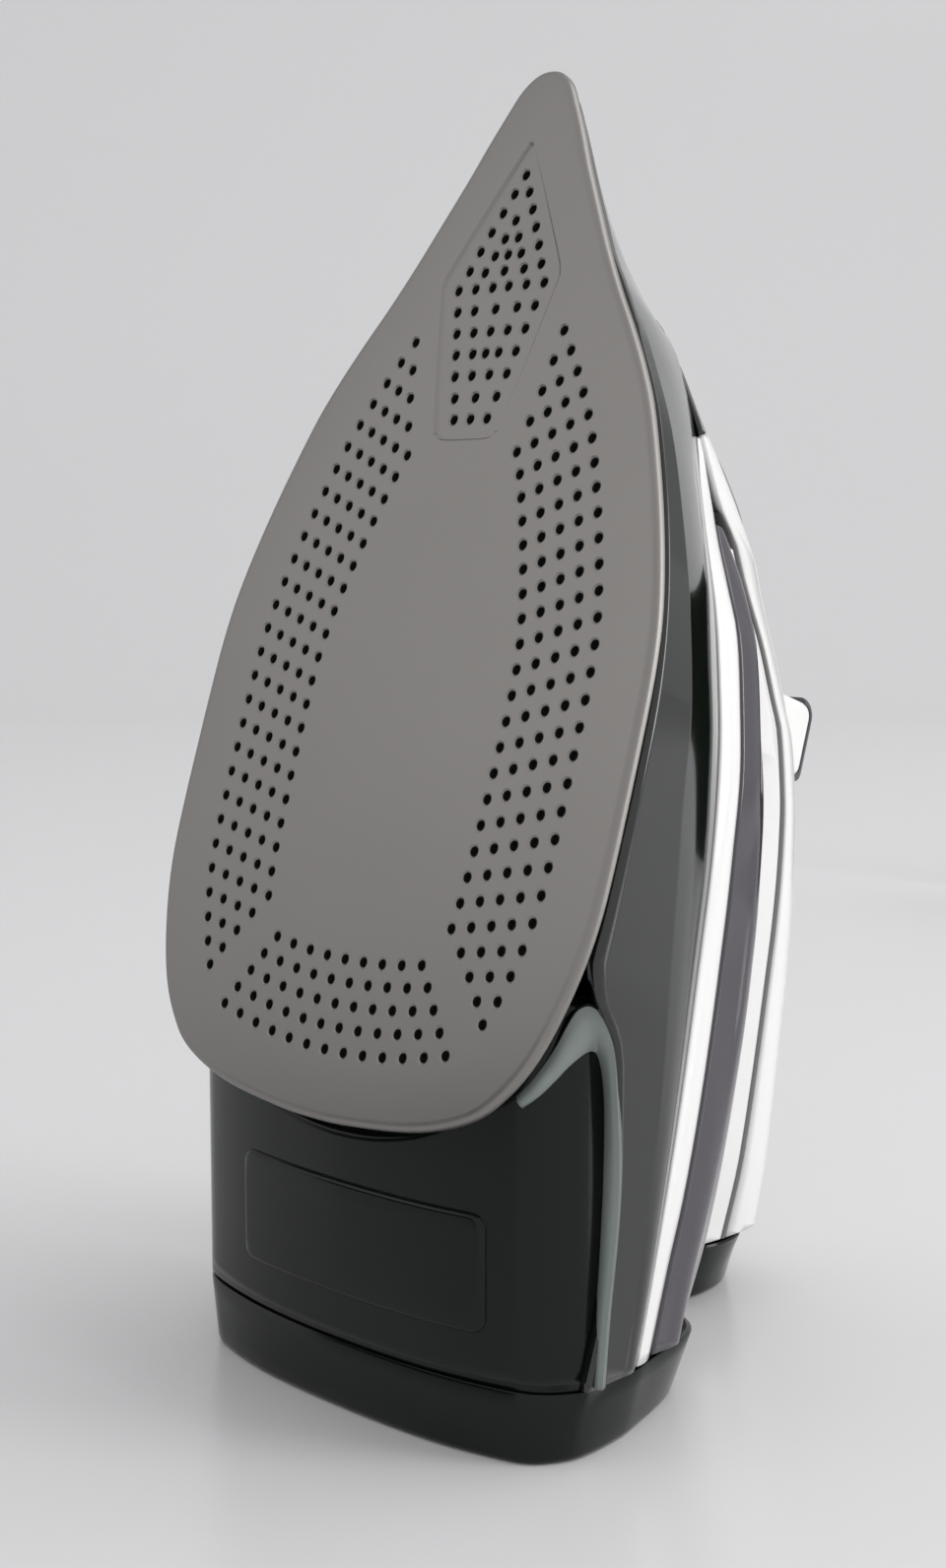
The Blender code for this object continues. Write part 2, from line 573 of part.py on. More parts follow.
def build_buttons():
    for side, word in ((1, "steam"), (-1, "spray")):
        x = side * (BUTTON_WIDTH / 2 + 1.4)
        z = BUTTON_Z * STRETCH
        reach = BUTTON_LENGTH / 2
        left, right, top = x - BUTTON_WIDTH / 2, x + BUTTON_WIDTH / 2, BUTTON_TOP + RISE
        cap = block((left, 110 + RISE, z - reach), (right, top - 1.8, z + reach), 1.6, 2)
        axis = (x, top, z)
        pivot(finish(cap, word + "_button", "white"), axis)
        pad = block((left + 0.5, top - 1.5, z - reach + 0.5), (right - 0.5, top, z + reach - 0.5), 0.6)
        pivot(finish(pad, word + "_button_pad", "grey"), axis)
        centre = (x, 0, (BUTTON_Z + 4.5) * STRETCH)
        low = deck(centre[2]) + 4.5
        tube = stacked([(BARREL_RADIUS, low), (BARREL_RADIUS, low + 27), (BARREL_RADIUS - 1.2, low + 27),
                        (BARREL_RADIUS - 1.2, low + 1.5)], 16, centre)
        finish(tube, word + "_pump_barrel", "grey")
        head = low + 18
        thick = BARREL_RADIUS - 1.6
        profile = [(thick, head), (thick, head + 5), (2.5, head + 5), (2.5, 109.7 + RISE)]
        piston = stacked(profile, 16, centre)
        pivot(finish(piston, word + "_pump_piston", "steel"), axis)
        bottom, height = low + 1.5 + GAP + SPRING_WIRE, head - low - 1.5 - 2 * GAP - 2 * SPRING_WIRE
        coil = []
        for k in range(SPRING_TURNS * 10 + 1):
            a = 2 * math.pi * k / 10
            y = bottom + height * k / (SPRING_TURNS * 10)
            coil.append((centre[0] + 3.9 * math.cos(a), y, centre[2] + 3.9 * math.sin(a)))
        finish(swept(coil, SPRING_WIRE, 5), word + "_pump_spring", "steel")


def build_valve(cover_top):
    z = ROD_Z * STRETCH
    seat = sleeve(5.0, ROD_RADIUS + 0.8, cover_top + GAP, cover_top + 5, (0, 0, z), 16)
    finish(seat, "drip_valve_seat", "brass")
    valve = finish(rod(ROD_RADIUS, cover_top + 2, 88.0, (0, 0, z), 12), "drip_valve_rod", "steel")
    pivot(valve, (0, 88.0, z))
    slot = SELECTOR_Z * STRETCH
    knob = block((-2.0, 88.5, slot - 6.0), (2.0, ridge(slot - 3) + 5.5 + RISE, slot - 1.0), 0.5)
    pivot(finish(knob, "steam_selector", "grey"), (0, ridge(slot), slot))


def build_swivel():
    z = SWIVEL_Z * STRETCH
    top = ridge(z) + RISE + 5.0
    bore, outer = 3.6, SWIVEL_RADIUS
    profile = [(bore, top - 14), (outer, top - 14), (outer, top - 3), (outer - 3, top), (bore, top)]
    swivel = finish(turned(profile, 24, (0, 0, z)), "cord_swivel", "rubber")
    pivot(swivel, (0, top, z))
    floor = underside(z) + RISE
    finish(block((-11, floor + 4, z - 16), (11, floor + 13, z + 12), 1.0), "terminal_block", "ceramic")


def floor_ring(half, level):
    return mirrored([(x * WIDEN, y + HEEL_SHIFT, level) for x, y in half])


def shrunk(half, inset):
    """A floor outline's right half drawn in along both directions from its own middle."""
    middle = (half[0][1] + half[-1][1]) / 2
    reach = abs(half[-1][1] - half[0][1]) / 2
    widest = max(x for x, _ in half)
    return [(x * (1 - inset / widest), middle + (y - middle) * (1 - inset / reach)) for x, y in half]


CAP_TOP = [(0, -27.8), (16, -27.3), (30, -25.8), (43, -23), (51, -19.8), (56, -14), (57.5, -8),
           (57.2, 3.7), (55.5, 11), (51.3, 28.5), (44, 35.5), (30, 38.5), (0, 39.5)]
CAP_FOOT = [(0, -27.0), (16, -26.6), (29, -25.4), (41, -22.8), (49, -19.8), (53.4, -14), (54.8, -8),
            (54.2, 2), (52.4, 10), (46.5, 28), (39, 36.5), (26, 40), (0, 41)]
FOOT_TOP = [(0, 67), (11, 68), (17.5, 73), (19.5, 80), (18.5, 88), (14.5, 94.5), (10, 98.7), (5, 101.6),
            (0, 102.6)]
FOOT_FOOT = [(0, 70), (6.5, 70.6), (11, 74), (12.8, 80), (12.3, 87), (10.5, 93), (7.5, 98), (4, 101),
             (0, 102)]


def build_heel():
    """Two low dark caps that the iron stands on: one under the body and one under the handle."""
    for name, foot, top in (("heel_cap", CAP_FOOT, CAP_TOP), ("handle_foot", FOOT_FOOT, FOOT_TOP)):
        rim = HEEL_CAP_HEIGHT
        rings = [floor_ring(shrunk(foot, 0.8), 0), floor_ring(foot, 0.8), floor_ring(top, rim - 0.4),
                 floor_ring(shrunk(top, 0.4), rim), floor_ring(shrunk(top, 2.6), rim),
                 floor_ring(shrunk(foot, 3.2), 3.0)]
        finish(loft(rings), name, "dark", leaned=False)


PANEL_FRONT = [(0, -27.8), (16, -27.3), (30, -25.8), (43, -23), (51, -19.8), (56, -14), (57.4, -9.2)]
COVER_CLEAR = 7.4
COVER_SIDE_TOP = 92.0


def build_heel_cover():
    """The upright front wall between the sole's rear edge and the heel cap."""
    rings = []
    for x, y in PANEL_FRONT:
        inner_x, inner_y = x * (1 - WALL / 57), y + WALL * (1 - 0.5 * (x / 57) ** 4)
        ring = []
        for px, py in ((x, y + HEEL_SHIFT), (inner_x, inner_y + HEEL_SHIFT)):
            top = LIFT + (py * math.cos(LEAN) - COVER_CLEAR) / math.sin(LEAN)
            top = min(top, COVER_SIDE_TOP + SOLE_RAISE - 65.2)
            ring.append(((px * WIDEN, py, SEAM), (px * WIDEN, py, top)))
        rings.append([ring[0][0], ring[0][1], ring[1][1], ring[1][0]])
    left = [[(-x, y, z) for x, y, z in ring] for ring in reversed(rings[1:])]
    finish(loft(left + rings), "heel_cover", "dark", leaned=False)


def front_y(x):
    """Depth of the heel cover's outer face at a given x."""
    pts = PANEL_FRONT
    x = abs(x) / WIDEN
    for (x0, y0), (x1, y1) in zip(pts, pts[1:]):
        if x0 <= x <= x1:
            return y0 + (y1 - y0) * (x - x0) / (x1 - x0) + HEEL_SHIFT
    return pts[-1][1] + HEEL_SHIFT


def build_rating_plate():
    """A thin blank plate with rounded corners on the heel cover."""
    left, right, low, high, corner = -31.0, 41.0, 26.0, 51.0, 3.5
    rings = []
    xs = [left, left + 1.0, left + corner, -16, 0, 16, 30, right - corner, right - 1.0, right]
    for x in xs:
        reach = min(x - left, right - x)
        trim = corner - math.sqrt(corner**2 - (corner - min(reach, corner)) ** 2)
        face, back = front_y(x) - GAP - 0.9, front_y(x) - GAP
        rings.append([(x * WIDEN, face, low + trim), (x * WIDEN, face, high - trim),
                      (x * WIDEN, back, high - trim), (x * WIDEN, back, low + trim)])
    finish(loft(rings), "rating_plate", "dark", leaned=False, smooth=False)


def build_nozzle():
    nozzle = turned([(1.0, 0), (3.0, 0), (3.0, 5.5), (2.2, 7.0), (1.0, 7.0)], 14)
    angle = math.atan2(23, 15)
    bmesh.ops.rotate(nozzle, verts=nozzle.verts, cent=(0, 0, 0), matrix=Matrix.Rotation(angle, 3, "X"))
    z = 64.5 * STRETCH
    bmesh.ops.translate(nozzle, verts=nozzle.verts, vec=(0, 61.0 + RISE, z))
    finish(nozzle, "spray_nozzle", "grey")


def build_fasteners():
    base = SOLE_THICKNESS + GAP + CASTING_THICKNESS + GAP
    for name, x, z in (("sole_screw_front", 0, 90), ("sole_screw_left", -24, -88),
                       ("sole_screw_right", 24, -88)):
        finish(rod(SCREW_RADIUS + 1.5, base, base + 3, (x * WIDEN, 0, z * STRETCH), 12), name, "steel")
    for name, z in (("handle_screw_front", -30), ("handle_screw_rear", -72)):
        low = underside(z * STRETCH) + WALL + GAP + RISE
        finish(rod(SCREW_RADIUS, low, low + 14, (0, 0, z * STRETCH), 12), name, "steel")
    z = -86 * STRETCH
    finish(rod(4.0, deck(z) + 1.1, deck(z) + 3.0, (0, 0, z), 16), "indicator_lens", "amber")


def centre_on_floor():
    """Slides everything so that the middle of the whole outline's base is the origin."""
    bpy.context.view_layer.update()
    low, high = Vector((1e9,) * 3), Vector((-1e9,) * 3)
    for thing in bpy.data.objects:
        if thing.type == "MESH" and not thing.hide_render:
            for vertex in thing.data.vertices:
                point = thing.matrix_world @ vertex.co
                low = Vector(min(a, b) for a, b in zip(low, point))
                high = Vector(max(a, b) for a, b in zip(high, point))
    root_empty.location = (-(low.x + high.x) / 2, -(low.y + high.y) / 2, -low.z)
    bpy.context.view_layer.update()


clear_scene()
root_empty = bpy.data.objects.new("iron", None)
collection.objects.link(root_empty)
frame_empty = bpy.data.objects.new("iron_frame", None)
collection.objects.link(frame_empty)
frame_empty.parent = root_empty
frame_empty.location = (0, 0, LIFT * MM)
frame_empty.rotation_euler = (-LEAN, 0, 0)

casting_step, cover_top = build_sole()
build_heater(casting_step)
build_thermostat(cover_top)
build_lower_housing()
for side, word in ((1, "right"), (-1, "left")):
    build_accent_strip(side, "accent_strip_" + word)
    build_inlay(side, "handle_inlay_" + word)
build_water_tank()
build_handle_top()
build_handle_bottom()
build_heel()
build_heel_cover()
build_rating_plate()
build_fill_lid()
build_buttons()
build_valve(cover_top)
build_swivel()
build_nozzle()
build_fasteners()
centre_on_floor()
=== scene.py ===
# %% [markdown]
# # A steam iron on its heel
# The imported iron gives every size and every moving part. This lesson dresses it: each visible moulding is
# modelled again with a fine surface, each surface gets the finish it has on a real iron, and the CAD pieces
# that stay inside keep their shape and get a plain finish of their own.

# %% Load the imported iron
import math
import bmesh
import bpy
from mathutils import Matrix, Vector


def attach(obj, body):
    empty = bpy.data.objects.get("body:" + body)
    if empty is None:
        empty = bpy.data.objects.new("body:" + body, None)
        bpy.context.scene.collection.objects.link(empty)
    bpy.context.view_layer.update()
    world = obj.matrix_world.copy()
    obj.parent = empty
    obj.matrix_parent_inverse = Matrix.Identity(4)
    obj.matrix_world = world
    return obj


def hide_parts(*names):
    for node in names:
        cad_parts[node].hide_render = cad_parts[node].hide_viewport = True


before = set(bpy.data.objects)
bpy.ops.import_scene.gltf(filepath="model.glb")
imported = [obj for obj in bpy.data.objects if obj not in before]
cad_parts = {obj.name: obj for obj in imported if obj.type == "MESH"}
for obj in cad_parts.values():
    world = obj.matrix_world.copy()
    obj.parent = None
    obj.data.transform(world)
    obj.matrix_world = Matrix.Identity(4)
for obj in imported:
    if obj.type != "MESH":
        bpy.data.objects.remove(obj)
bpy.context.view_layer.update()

# %% [markdown]
# ## The iron's own frame
# An iron is drawn lying along its sole: x goes across, y rises from the sole face to the handle, and z runs
# along the sole to its tip, all in millimetres. On its heel the whole iron leans back by about 18 degrees, so
# one matrix turns drawn millimetres into standing metres. Drawing in this frame keeps every section simple.

# %% The standing pose
MM = 0.001
LEAN = math.radians(18.115)
LIFT = 170.98
SHIFT = -43.43
STAND = (Matrix.Scale(MM, 4) @ Matrix.Translation((0, SHIFT, LIFT)) @ Matrix.Rotation(-LEAN, 4, "X"))
SEAM = 16.3


def standing(point):
    """A point of the iron's own frame, as it stands, in metres."""
    return STAND @ Vector(point)


print("sole tip stands at", [round(v, 3) for v in standing((0, 0, 121.8))])

# %% [markdown]
# ## Smooth section curves
# A moulder gives a shape by a few stations and a fair curve through them. The same is done here: a Hermite
# curve through (station, value) points, which stays fair and passes through every point.

# %% A fair curve through a few points


def curve(points):
    """A smooth function through (station, value) points."""
    pts = sorted(points)

    def slope(i):
        lo, hi = max(i - 1, 0), min(i + 1, len(pts) - 1)
        return (pts[hi][1] - pts[lo][1]) / (pts[hi][0] - pts[lo][0])

    def value(s):
        if s <= pts[0][0]:
            return pts[0][1] + slope(0) * (s - pts[0][0])
        if s >= pts[-1][0]:
            return pts[-1][1]
        i = max(k for k in range(len(pts) - 1) if pts[k][0] <= s)
        (s0, v0), (s1, v1) = pts[i], pts[i + 1]
        h, t = s1 - s0, (s - s0) / (s1 - s0)
        ends = (2 * t**3 - 3 * t**2 + 1) * v0 + (3 * t**2 - 2 * t**3) * v1
        return ends + h * ((t**3 - 2 * t**2 + t) * slope(i) + (t**3 - t**2) * slope(i + 1))

    return value


skirt_foot = curve([(60, 40.5), (51, 46), (41, 51), (22, 58), (3, 63), (-16, 65.3), (-54, 65.5),
                    (-80, 64.3), (-110, 62.5), (-150, 60)])
skirt_low = curve([(60, 4), (-62, 4), (-70, 4.2), (-74, 7.4), (-78, 12.8), (-83.3, 17.8), (-95, 22.8),
                   (-107.7, 27.7), (-120.3, 31), (-135.6, 34.4), (-149.2, 35.2), (-155, 35.4)])
skirt_top_x = curve([(60, 29), (49, 34.5), (38, 38.8), (24, 44), (11, 48.3), (-4, 51.8), (-18, 54.3),
                     (-40, 56.3), (-62, 57.2), (-93, 58), (-130, 57.8), (-155, 57)])
skirt_top = curve([(60, 34.3), (49, 34.5), (38, 34.2), (24, 34.8), (11, 36.2), (-4, 38), (-18, 39.8),
                   (-40, 42.4), (-62, 44.3), (-93, 47), (-130, 50.2), (-155, 52.3)])
strip_top_x = curve([(49, 34.5), (34, 35.5), (18, 44.2), (8, 48.8), (-7, 52.6), (-22, 55), (-38, 55.8),
                     (-53, 56.4), (-87, 57.2), (-110, 57), (-126, 56), (-155, 55)])
strip_top = curve([(49, 35.6), (42, 41), (34, 45.4), (18, 44.2), (8, 44.8), (-7, 46), (-22, 48),
                   (-38, 50), (-53, 51.6), (-87, 54.6), (-126, 57.2), (-155, 58.5)])
shoulder_x = curve([(33, 33), (22, 38), (6, 45), (-10, 50.2), (-25, 54), (-40, 56), (-55, 57),
                    (-93, 56.5), (-117, 54.8), (-140, 51), (-155, 48)])
deck = curve([(33, 51), (28, 57), (22, 61), (6, 64), (-10, 65.5), (-40, 67), (-55, 69), (-71, 72),
              (-93, 75), (-117, 78.5), (-155, 84)])
inlay_x = curve([(84, 0), (78, 13.5), (71, 20.3), (61, 27.8), (49, 34.5), (40, 34.6), (36, 34), (33, 32),
                 (28, 29), (24.5, 27.6), (15.5, 25), (4, 23.5), (-13, 22.5), (-32, 22), (-100, 22),
                 (-125, 19.5)])
inlay_y = curve([(84, 34.6), (60, 35.2), (49, 36.4), (42, 42), (36, 49), (33, 57), (28, 66), (24.5, 71.5),
                 (15.5, 84.5), (4, 96), (-1, 100.5), (-13, 107), (-20, 110), (-32, 113.5), (-45, 116),
                 (-57, 117.5), (-88, 121), (-125, 125)])
ridge = curve([(85, 36), (81, 42), (73, 52), (64, 62), (56, 71), (49, 79), (33, 96), (29, 100), (21, 107),
               (12, 114.5), (-10, 125), (-29, 131), (-56, 136), (-73, 137.5), (-87, 139), (-125, 143)])
underside = curve([(-7, 84), (-16, 94), (-29, 99.5), (-56, 104), (-87, 107), (-125, 111)])
print("skirt at the widest station is", round(2 * skirt_foot(-45), 1), "mm across")

# %% [markdown]
# ## Moulded skins
# A moulding is a skin with a wall. A row of points is drawn across the iron at one station, and
# extrude_edge_only carries it to the next station, so the quads run along the iron as a moulder's own
# sections do. A Solidify modifier then adds the wall inwards, which leaves the outside exactly as drawn.

# %% Draw a skin from rows of points


def carry(bm, line, edges, row):
    """Extrudes a row of edges to a new row of points and returns that row's vertices and edges."""
    grown = bmesh.ops.extrude_edge_only(bm, edges=edges)["geom"]
    fresh = {v for v in grown if isinstance(v, bmesh.types.BMVert)}
    line = [next(e.other_vert(v) for e in v.link_edges if e.other_vert(v) in fresh) for v in line]
    for vert, point in zip(line, row):
        vert.co = point
    return line, [e for e in grown if isinstance(e, bmesh.types.BMEdge) and all(v in fresh for v in e.verts)]


def skin(rows, ring=False):
    """Extrudes one row of points through every other row and returns the bmesh, still in millimetres."""
    bm = bmesh.new()
    line = [bm.verts.new(p) for p in rows[0]]
    edges = [bm.edges.new(pair) for pair in zip(line, line[1:])]
    if ring:
        edges.append(bm.edges.new((line[-1], line[0])))
    for row in rows[1:]:
        line, edges = carry(bm, line, edges, row)
    return bm


def capped(rows):
    """A skin of rings whose two ends are closed with flat faces."""
    bm = skin(rows, ring=True)
    bmesh.ops.holes_fill(bm, edges=[e for e in bm.edges if e.is_boundary], sides=0)
    return bm


def mirrored(half):
    """A row from the right half: reflected through the middle, right to left."""
    return half + [(-x, y, z) for x, y, z in reversed(half) if abs(x) > 1e-6]


def stations(low, high, step):
    """Evenly spaced stations with both ends exact."""
    count = max(1, round(abs(high - low) / step))
    return [low + (high - low) * k / count for k in range(count + 1)]


# %% [markdown]
# ## From skin to piece
# Every piece is finished the same way: doubles merged, normals turned out, placed as it stands, cut level at
# the heel seam where it ends there, shaded smooth with its real edges left sharp, and hung on the body that
# carries it. One function does that, so that each cell below only holds a shape.

# %% Finish a piece
scene = bpy.context.scene


def turned_out(bm):
    """Points the faces away from the middle, on open skins too."""
    bmesh.ops.recalc_face_normals(bm, faces=bm.faces)
    if any(e.is_boundary for e in bm.edges):
        middle = sum((v.co for v in bm.verts), Vector()) / len(bm.verts)
        facing = sum(f.normal.dot(f.calc_center_median() - middle) * f.calc_area() for f in bm.faces)
        if facing < 0:
            bmesh.ops.reverse_faces(bm, faces=bm.faces)


def piece(bm, name, finish, body, *nodes, wall=0.0, level=None, leaned=True, sharp=30, slot=None):
    """Turns a bmesh in millimetres into a finished piece that rides on a body and stands for CAD nodes."""
    bmesh.ops.remove_doubles(bm, verts=bm.verts, dist=0.005)
    place = STAND if leaned else Matrix.Translation((0, SHIFT * MM, 0)) @ Matrix.Scale(MM, 4)
    bmesh.ops.transform(bm, matrix=place, verts=bm.verts)
    if level is not None:
        whole = bm.verts[:] + bm.edges[:] + bm.faces[:]
        bmesh.ops.bisect_plane(bm, geom=whole, plane_co=(0, 0, level * MM), plane_no=(0, 0, 1),
                               clear_inner=True)
    turned_out(bm)
    mesh = bpy.data.meshes.new(name)
    bm.to_mesh(mesh)
    bm.free()
    mesh.shade_smooth()
    mesh.set_sharp_from_angle(angle=math.radians(sharp))
    thing = bpy.data.objects.new(name, mesh)
    mesh.materials.append(finish)
    scene.collection.objects.link(thing)
    if wall:
        shell = thing.modifiers.new("wall", "SOLIDIFY")
        shell.thickness = wall * MM
        shell.offset = -1.0
        shell.use_even_offset = False
    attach(thing, body)
    if nodes:
        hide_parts(*nodes)
    print(name, "has", len(mesh.polygons), "faces")
    return thing

# %% [markdown]
# ## Finishes
# A moulded plastic is never one flat colour: its gloss comes from the polish of the mould, with a faint
# waviness where the wall shrank, and dust and handling scatter the highlight a little. Each finish below is
# named for the real material, its pattern is scaled from a real size, and it reads Object coordinates so that
# it stays on the piece when the piece moves.

# %% Colour and node helpers


def tone(code):
    """An sRGB hex colour as linear red, green, blue and alpha."""
    parts = [int(code[i:i + 2], 16) / 255 for i in (0, 2, 4)]
    return [c / 12.92 if c <= 0.04045 else ((c + 0.055) / 1.055) ** 2.4 for c in parts] + [1.0]


def add(material, kind, settings=(), values=(), links=()):
    """Adds one node: its settings, its socket values and the links into it."""
    node = material.node_tree.nodes.new(kind)
    for key, value in dict(settings).items():
        setattr(node, key, value)
    for key, value in dict(values).items():
        node.inputs[key].default_value = value
    for key, source in dict(links).items():
        material.node_tree.links.new(source, node.inputs[key])
    return node


def principled(name, values):
    """A new material and its Principled node, with the values that are the same all over."""
    material = bpy.data.materials.new(name)
    material.use_nodes = True
    shader = material.node_tree.nodes["Principled BSDF"]
    for key, value in values.items():
        shader.inputs[key].default_value = value
    return material, shader


def per_metre(size_mm):
    """The noise scale whose features are about this size."""
    return 1000.0 / size_mm


def moulded(name, dark, light, rough, grain_mm, grain_depth, wave_depth=0.0, **values):
    """A moulded plastic: colour drifting slowly between two tones, a polish that varies, and a fine skin."""
    material, shader = principled(name, {"IOR": 1.52, **values})
    where = add(material, "ShaderNodeTexCoord").outputs["Object"]
    drift = add(material, "ShaderNodeTexNoise", values={"Scale": per_metre(28), "Detail": 3.0},
                links={"Vector": where})
    mix = add(material, "ShaderNodeMix", {"data_type": "RGBA"}, links={"Factor": drift.outputs["Fac"]})
    mix.inputs["A"].default_value = tone(dark)
    mix.inputs["B"].default_value = tone(light)
    polish = add(material, "ShaderNodeMapRange", values={"To Min": rough * 0.8, "To Max": rough * 1.25},
                 links={"Value": drift.outputs["Fac"]})
    fine = add(material, "ShaderNodeTexNoise", values={"Scale": per_metre(grain_mm), "Detail": 2.0},
               links={"Vector": where})
    skin_bump = add(material, "ShaderNodeBump", values={"Strength": 0.3, "Distance": grain_depth * MM},
                    links={"Height": fine.outputs["Fac"]})
    normal = skin_bump.outputs["Normal"]
    if wave_depth:
        wave = add(material, "ShaderNodeTexNoise", values={"Scale": per_metre(40), "Detail": 1.0},
                   links={"Vector": where})
        normal = add(material, "ShaderNodeBump", values={"Strength": 0.5, "Distance": wave_depth * MM},
                     links={"Height": wave.outputs["Fac"], "Normal": normal}).outputs["Normal"]
    links = material.node_tree.links
    links.new(mix.outputs["Result"], shader.inputs["Base Color"])
    links.new(polish.outputs["Result"], shader.inputs["Roughness"])
    links.new(normal, shader.inputs["Normal"])
    return material


print("mid grey in linear light:", [round(c, 3) for c in tone("868686")[:3]])

# %% [markdown]
# ## Plastics
# The skirt and the caps are polished black-green ABS, which shows the room as soft grey bands. The strips and
# the handle are white ABS. The tank is smoke-tinted styrene, dark enough to look purple-grey, and the buttons
# and inlays are a satin grey.

# %% The plastics of an iron
skirt_abs = moulded("polished_black_green_ABS", "10150f", "151a15", 0.09, 0.4, 0.002, 0.03,
                    **{"Coat Weight": 0.4, "Coat Roughness": 0.04})
cap_abs = moulded("satin_black_ABS", "0c0f0e", "111413", 0.14, 0.5, 0.003, **{"Specular IOR Level": 0.25})
# The skirt's rim at the heel: the dark gloss skirt coloured pale grey, a painted highlight where its rounded
# edge catches the light.
skirt_rim_painted_highlight = moulded("skirt_rim_ABS_painted_highlight", "7c8480", "868e8a", 0.3, 0.5, 0.004)
white_abs = moulded("polished_white_ABS", "f1f1ef", "f5f5f3", 0.16, 0.5, 0.002, 0.015,
                    **{"Coat Weight": 0.3, "Coat Roughness": 0.05})
smoke_styrene = moulded("smoke_tinted_styrene", "48444b", "504b53", 0.12, 0.6, 0.002, 0.0,
                        **{"Transmission Weight": 0.15, "Coat Weight": 0.3, "Coat Roughness": 0.05})
inlay_abs = moulded("satin_grey_ABS_inlay", "625f60", "6a6768", 0.32, 0.4, 0.006)
pad_rubber = moulded("soft_touch_button_rubber", "4d4f51", "55575a", 0.5, 0.35, 0.02)
matte_grey = moulded("fine_textured_grey_nylon", "3c3d3e", "454647", 0.55, 0.35, 0.03)
cord_rubber = moulded("cord_guard_rubber", "1a1a1a", "212121", 0.6, 0.5, 0.03)
phenolic = moulded("ceramic_filled_phenolic", "cfc6b4", "d9d1c1", 0.7, 0.6, 0.04)
amber_lens = moulded("amber_polycarbonate", "c4560a", "d9660f", 0.1, 1.0, 0.001,
                     **{"Transmission Weight": 0.6})
print(len(bpy.data.materials), "materials so far")

# %% [markdown]
# ## Metals
# A soleplate is blasted, brushed along its length and then coated, which leaves a satin grey with an
# extremely fine grain. Brush lines are a noise stretched along z. A real line is about 0.05 mm across, too
# fine to show, so it is drawn 0.35 mm wide.

# %% The metals of an iron


def brushed(name, dark, light, rough, line_mm, stretch, depth):
    """A metal with fine lines along z: colour, gloss and height all follow one stretched noise."""
    material, shader = principled(name, {"Metallic": 1.0})
    where = add(material, "ShaderNodeTexCoord").outputs["Object"]
    along = add(material, "ShaderNodeMapping", values={"Scale": (1.0, 1.0, 1.0 / stretch)},
                links={"Vector": where})
    line = add(material, "ShaderNodeTexNoise", values={"Scale": per_metre(line_mm), "Detail": 4.0},
               links={"Vector": along.outputs["Vector"]})
    cloud = add(material, "ShaderNodeTexNoise", values={"Scale": per_metre(45), "Detail": 2.0},
                links={"Vector": where})
    both = add(material, "ShaderNodeMix", {"data_type": "FLOAT"}, {"Factor": 0.5},
               {"A": line.outputs["Fac"], "B": cloud.outputs["Fac"]})
    mix = add(material, "ShaderNodeMix", {"data_type": "RGBA"}, links={"Factor": both.outputs["Result"]})
    mix.inputs["A"].default_value = tone(dark)
    mix.inputs["B"].default_value = tone(light)
    gloss = add(material, "ShaderNodeMapRange", values={"To Min": rough * 0.85, "To Max": rough * 1.15},
                links={"Value": line.outputs["Fac"]})
    bump = add(material, "ShaderNodeBump", values={"Strength": 0.25, "Distance": depth * MM},
               links={"Height": line.outputs["Fac"]})
    links = material.node_tree.links
    links.new(mix.outputs["Result"], shader.inputs["Base Color"])
    links.new(gloss.outputs["Result"], shader.inputs["Roughness"])
    links.new(bump.outputs["Normal"], shader.inputs["Normal"])
    return material


sole_metal = brushed("satin_coated_aluminium", "8b8885", "95928f", 0.42, 0.35, 25, 0.01)
cast_aluminium = brushed("die_cast_aluminium", "b8b9ba", "c6c7c8", 0.5, 0.8, 1, 0.03)
plated_steel = brushed("zinc_plated_steel", "b4b5b6", "cbcccd", 0.25, 0.4, 6, 0.004)
turned_brass = brushed("turned_brass", "b18a45", "c79c52", 0.28, 0.4, 1, 0.004)
# Vent walls and floors: near black, painted shade standing for the darkness inside the holes.
painted_shade_vent = moulded("vent_wall_painted_shade", "0b0b0b", "121212", 0.8, 0.5, 0.02)
print("metals and plastics:", len(bpy.data.materials))

# %% [markdown]
# ## The soleplate outline
# A soleplate is stamped from one flat outline. The outline below is the right half, from the middle of the
# rear edge round to the tip; a Catmull-Rom curve rounds it, and every inset follows its local normal.

# %% Outline of the soleplate
SOLE_POINTS = [(-111.3, 0), (-110.8, 12), (-108.5, 30), (-104, 43.5), (-98, 51), (-89, 57.2), (-76, 62),
               (-62, 64.8), (-45, 65.5), (-28, 65.5), (-10, 65), (4, 63), (22, 58), (41, 51), (51, 46),
               (60, 40.5), (69, 34.5), (78, 29), (87, 24), (98, 18), (106, 14), (113, 10.2), (118, 7.2),
               (121, 3.6), (121.8, 0)]


def rounded(points, parts):
    """A Catmull-Rom curve through (x, z) points whose two ends lie on the middle line."""
    pts = [Vector((-points[1][0], points[1][1]))] + [Vector(p) for p in points]
    pts.append(Vector((-points[-2][0], points[-2][1])))
    fair = []
    for a, b, c, d in zip(pts, pts[1:], pts[2:], pts[3:]):
        for t in (k / parts for k in range(parts)):
            fair.append(0.5 * (2 * b + (c - a) * t + (2 * a - 5 * b + 4 * c - d) * t**2
                               + (3 * b - a - 3 * c + d) * t**3))
    fair.append(Vector(points[-1]))
    return [Vector((min(p.x, WIDEST), max(p.y, points[0][1]))) for p in fair]


WIDEST = 65.5
SOLE_HALF = rounded([(x, z) for z, x in SOLE_POINTS], 6)


def inset_half(half, inset):
    """A half outline moved inwards along its normals, kept on the right side."""
    moved = []
    for i, p in enumerate(half):
        before = half[i - 1] if i else Vector((-half[1].x, half[1].y))
        after = half[i + 1] if i < len(half) - 1 else Vector((-half[-2].x, half[-2].y))
        along = (after - before).normalized()
        q = p + inset * Vector((-along.y, along.x))
        moved.append(Vector((0.0 if i in (0, len(half) - 1) else max(q.x, 0.02), q.y)))
    return moved


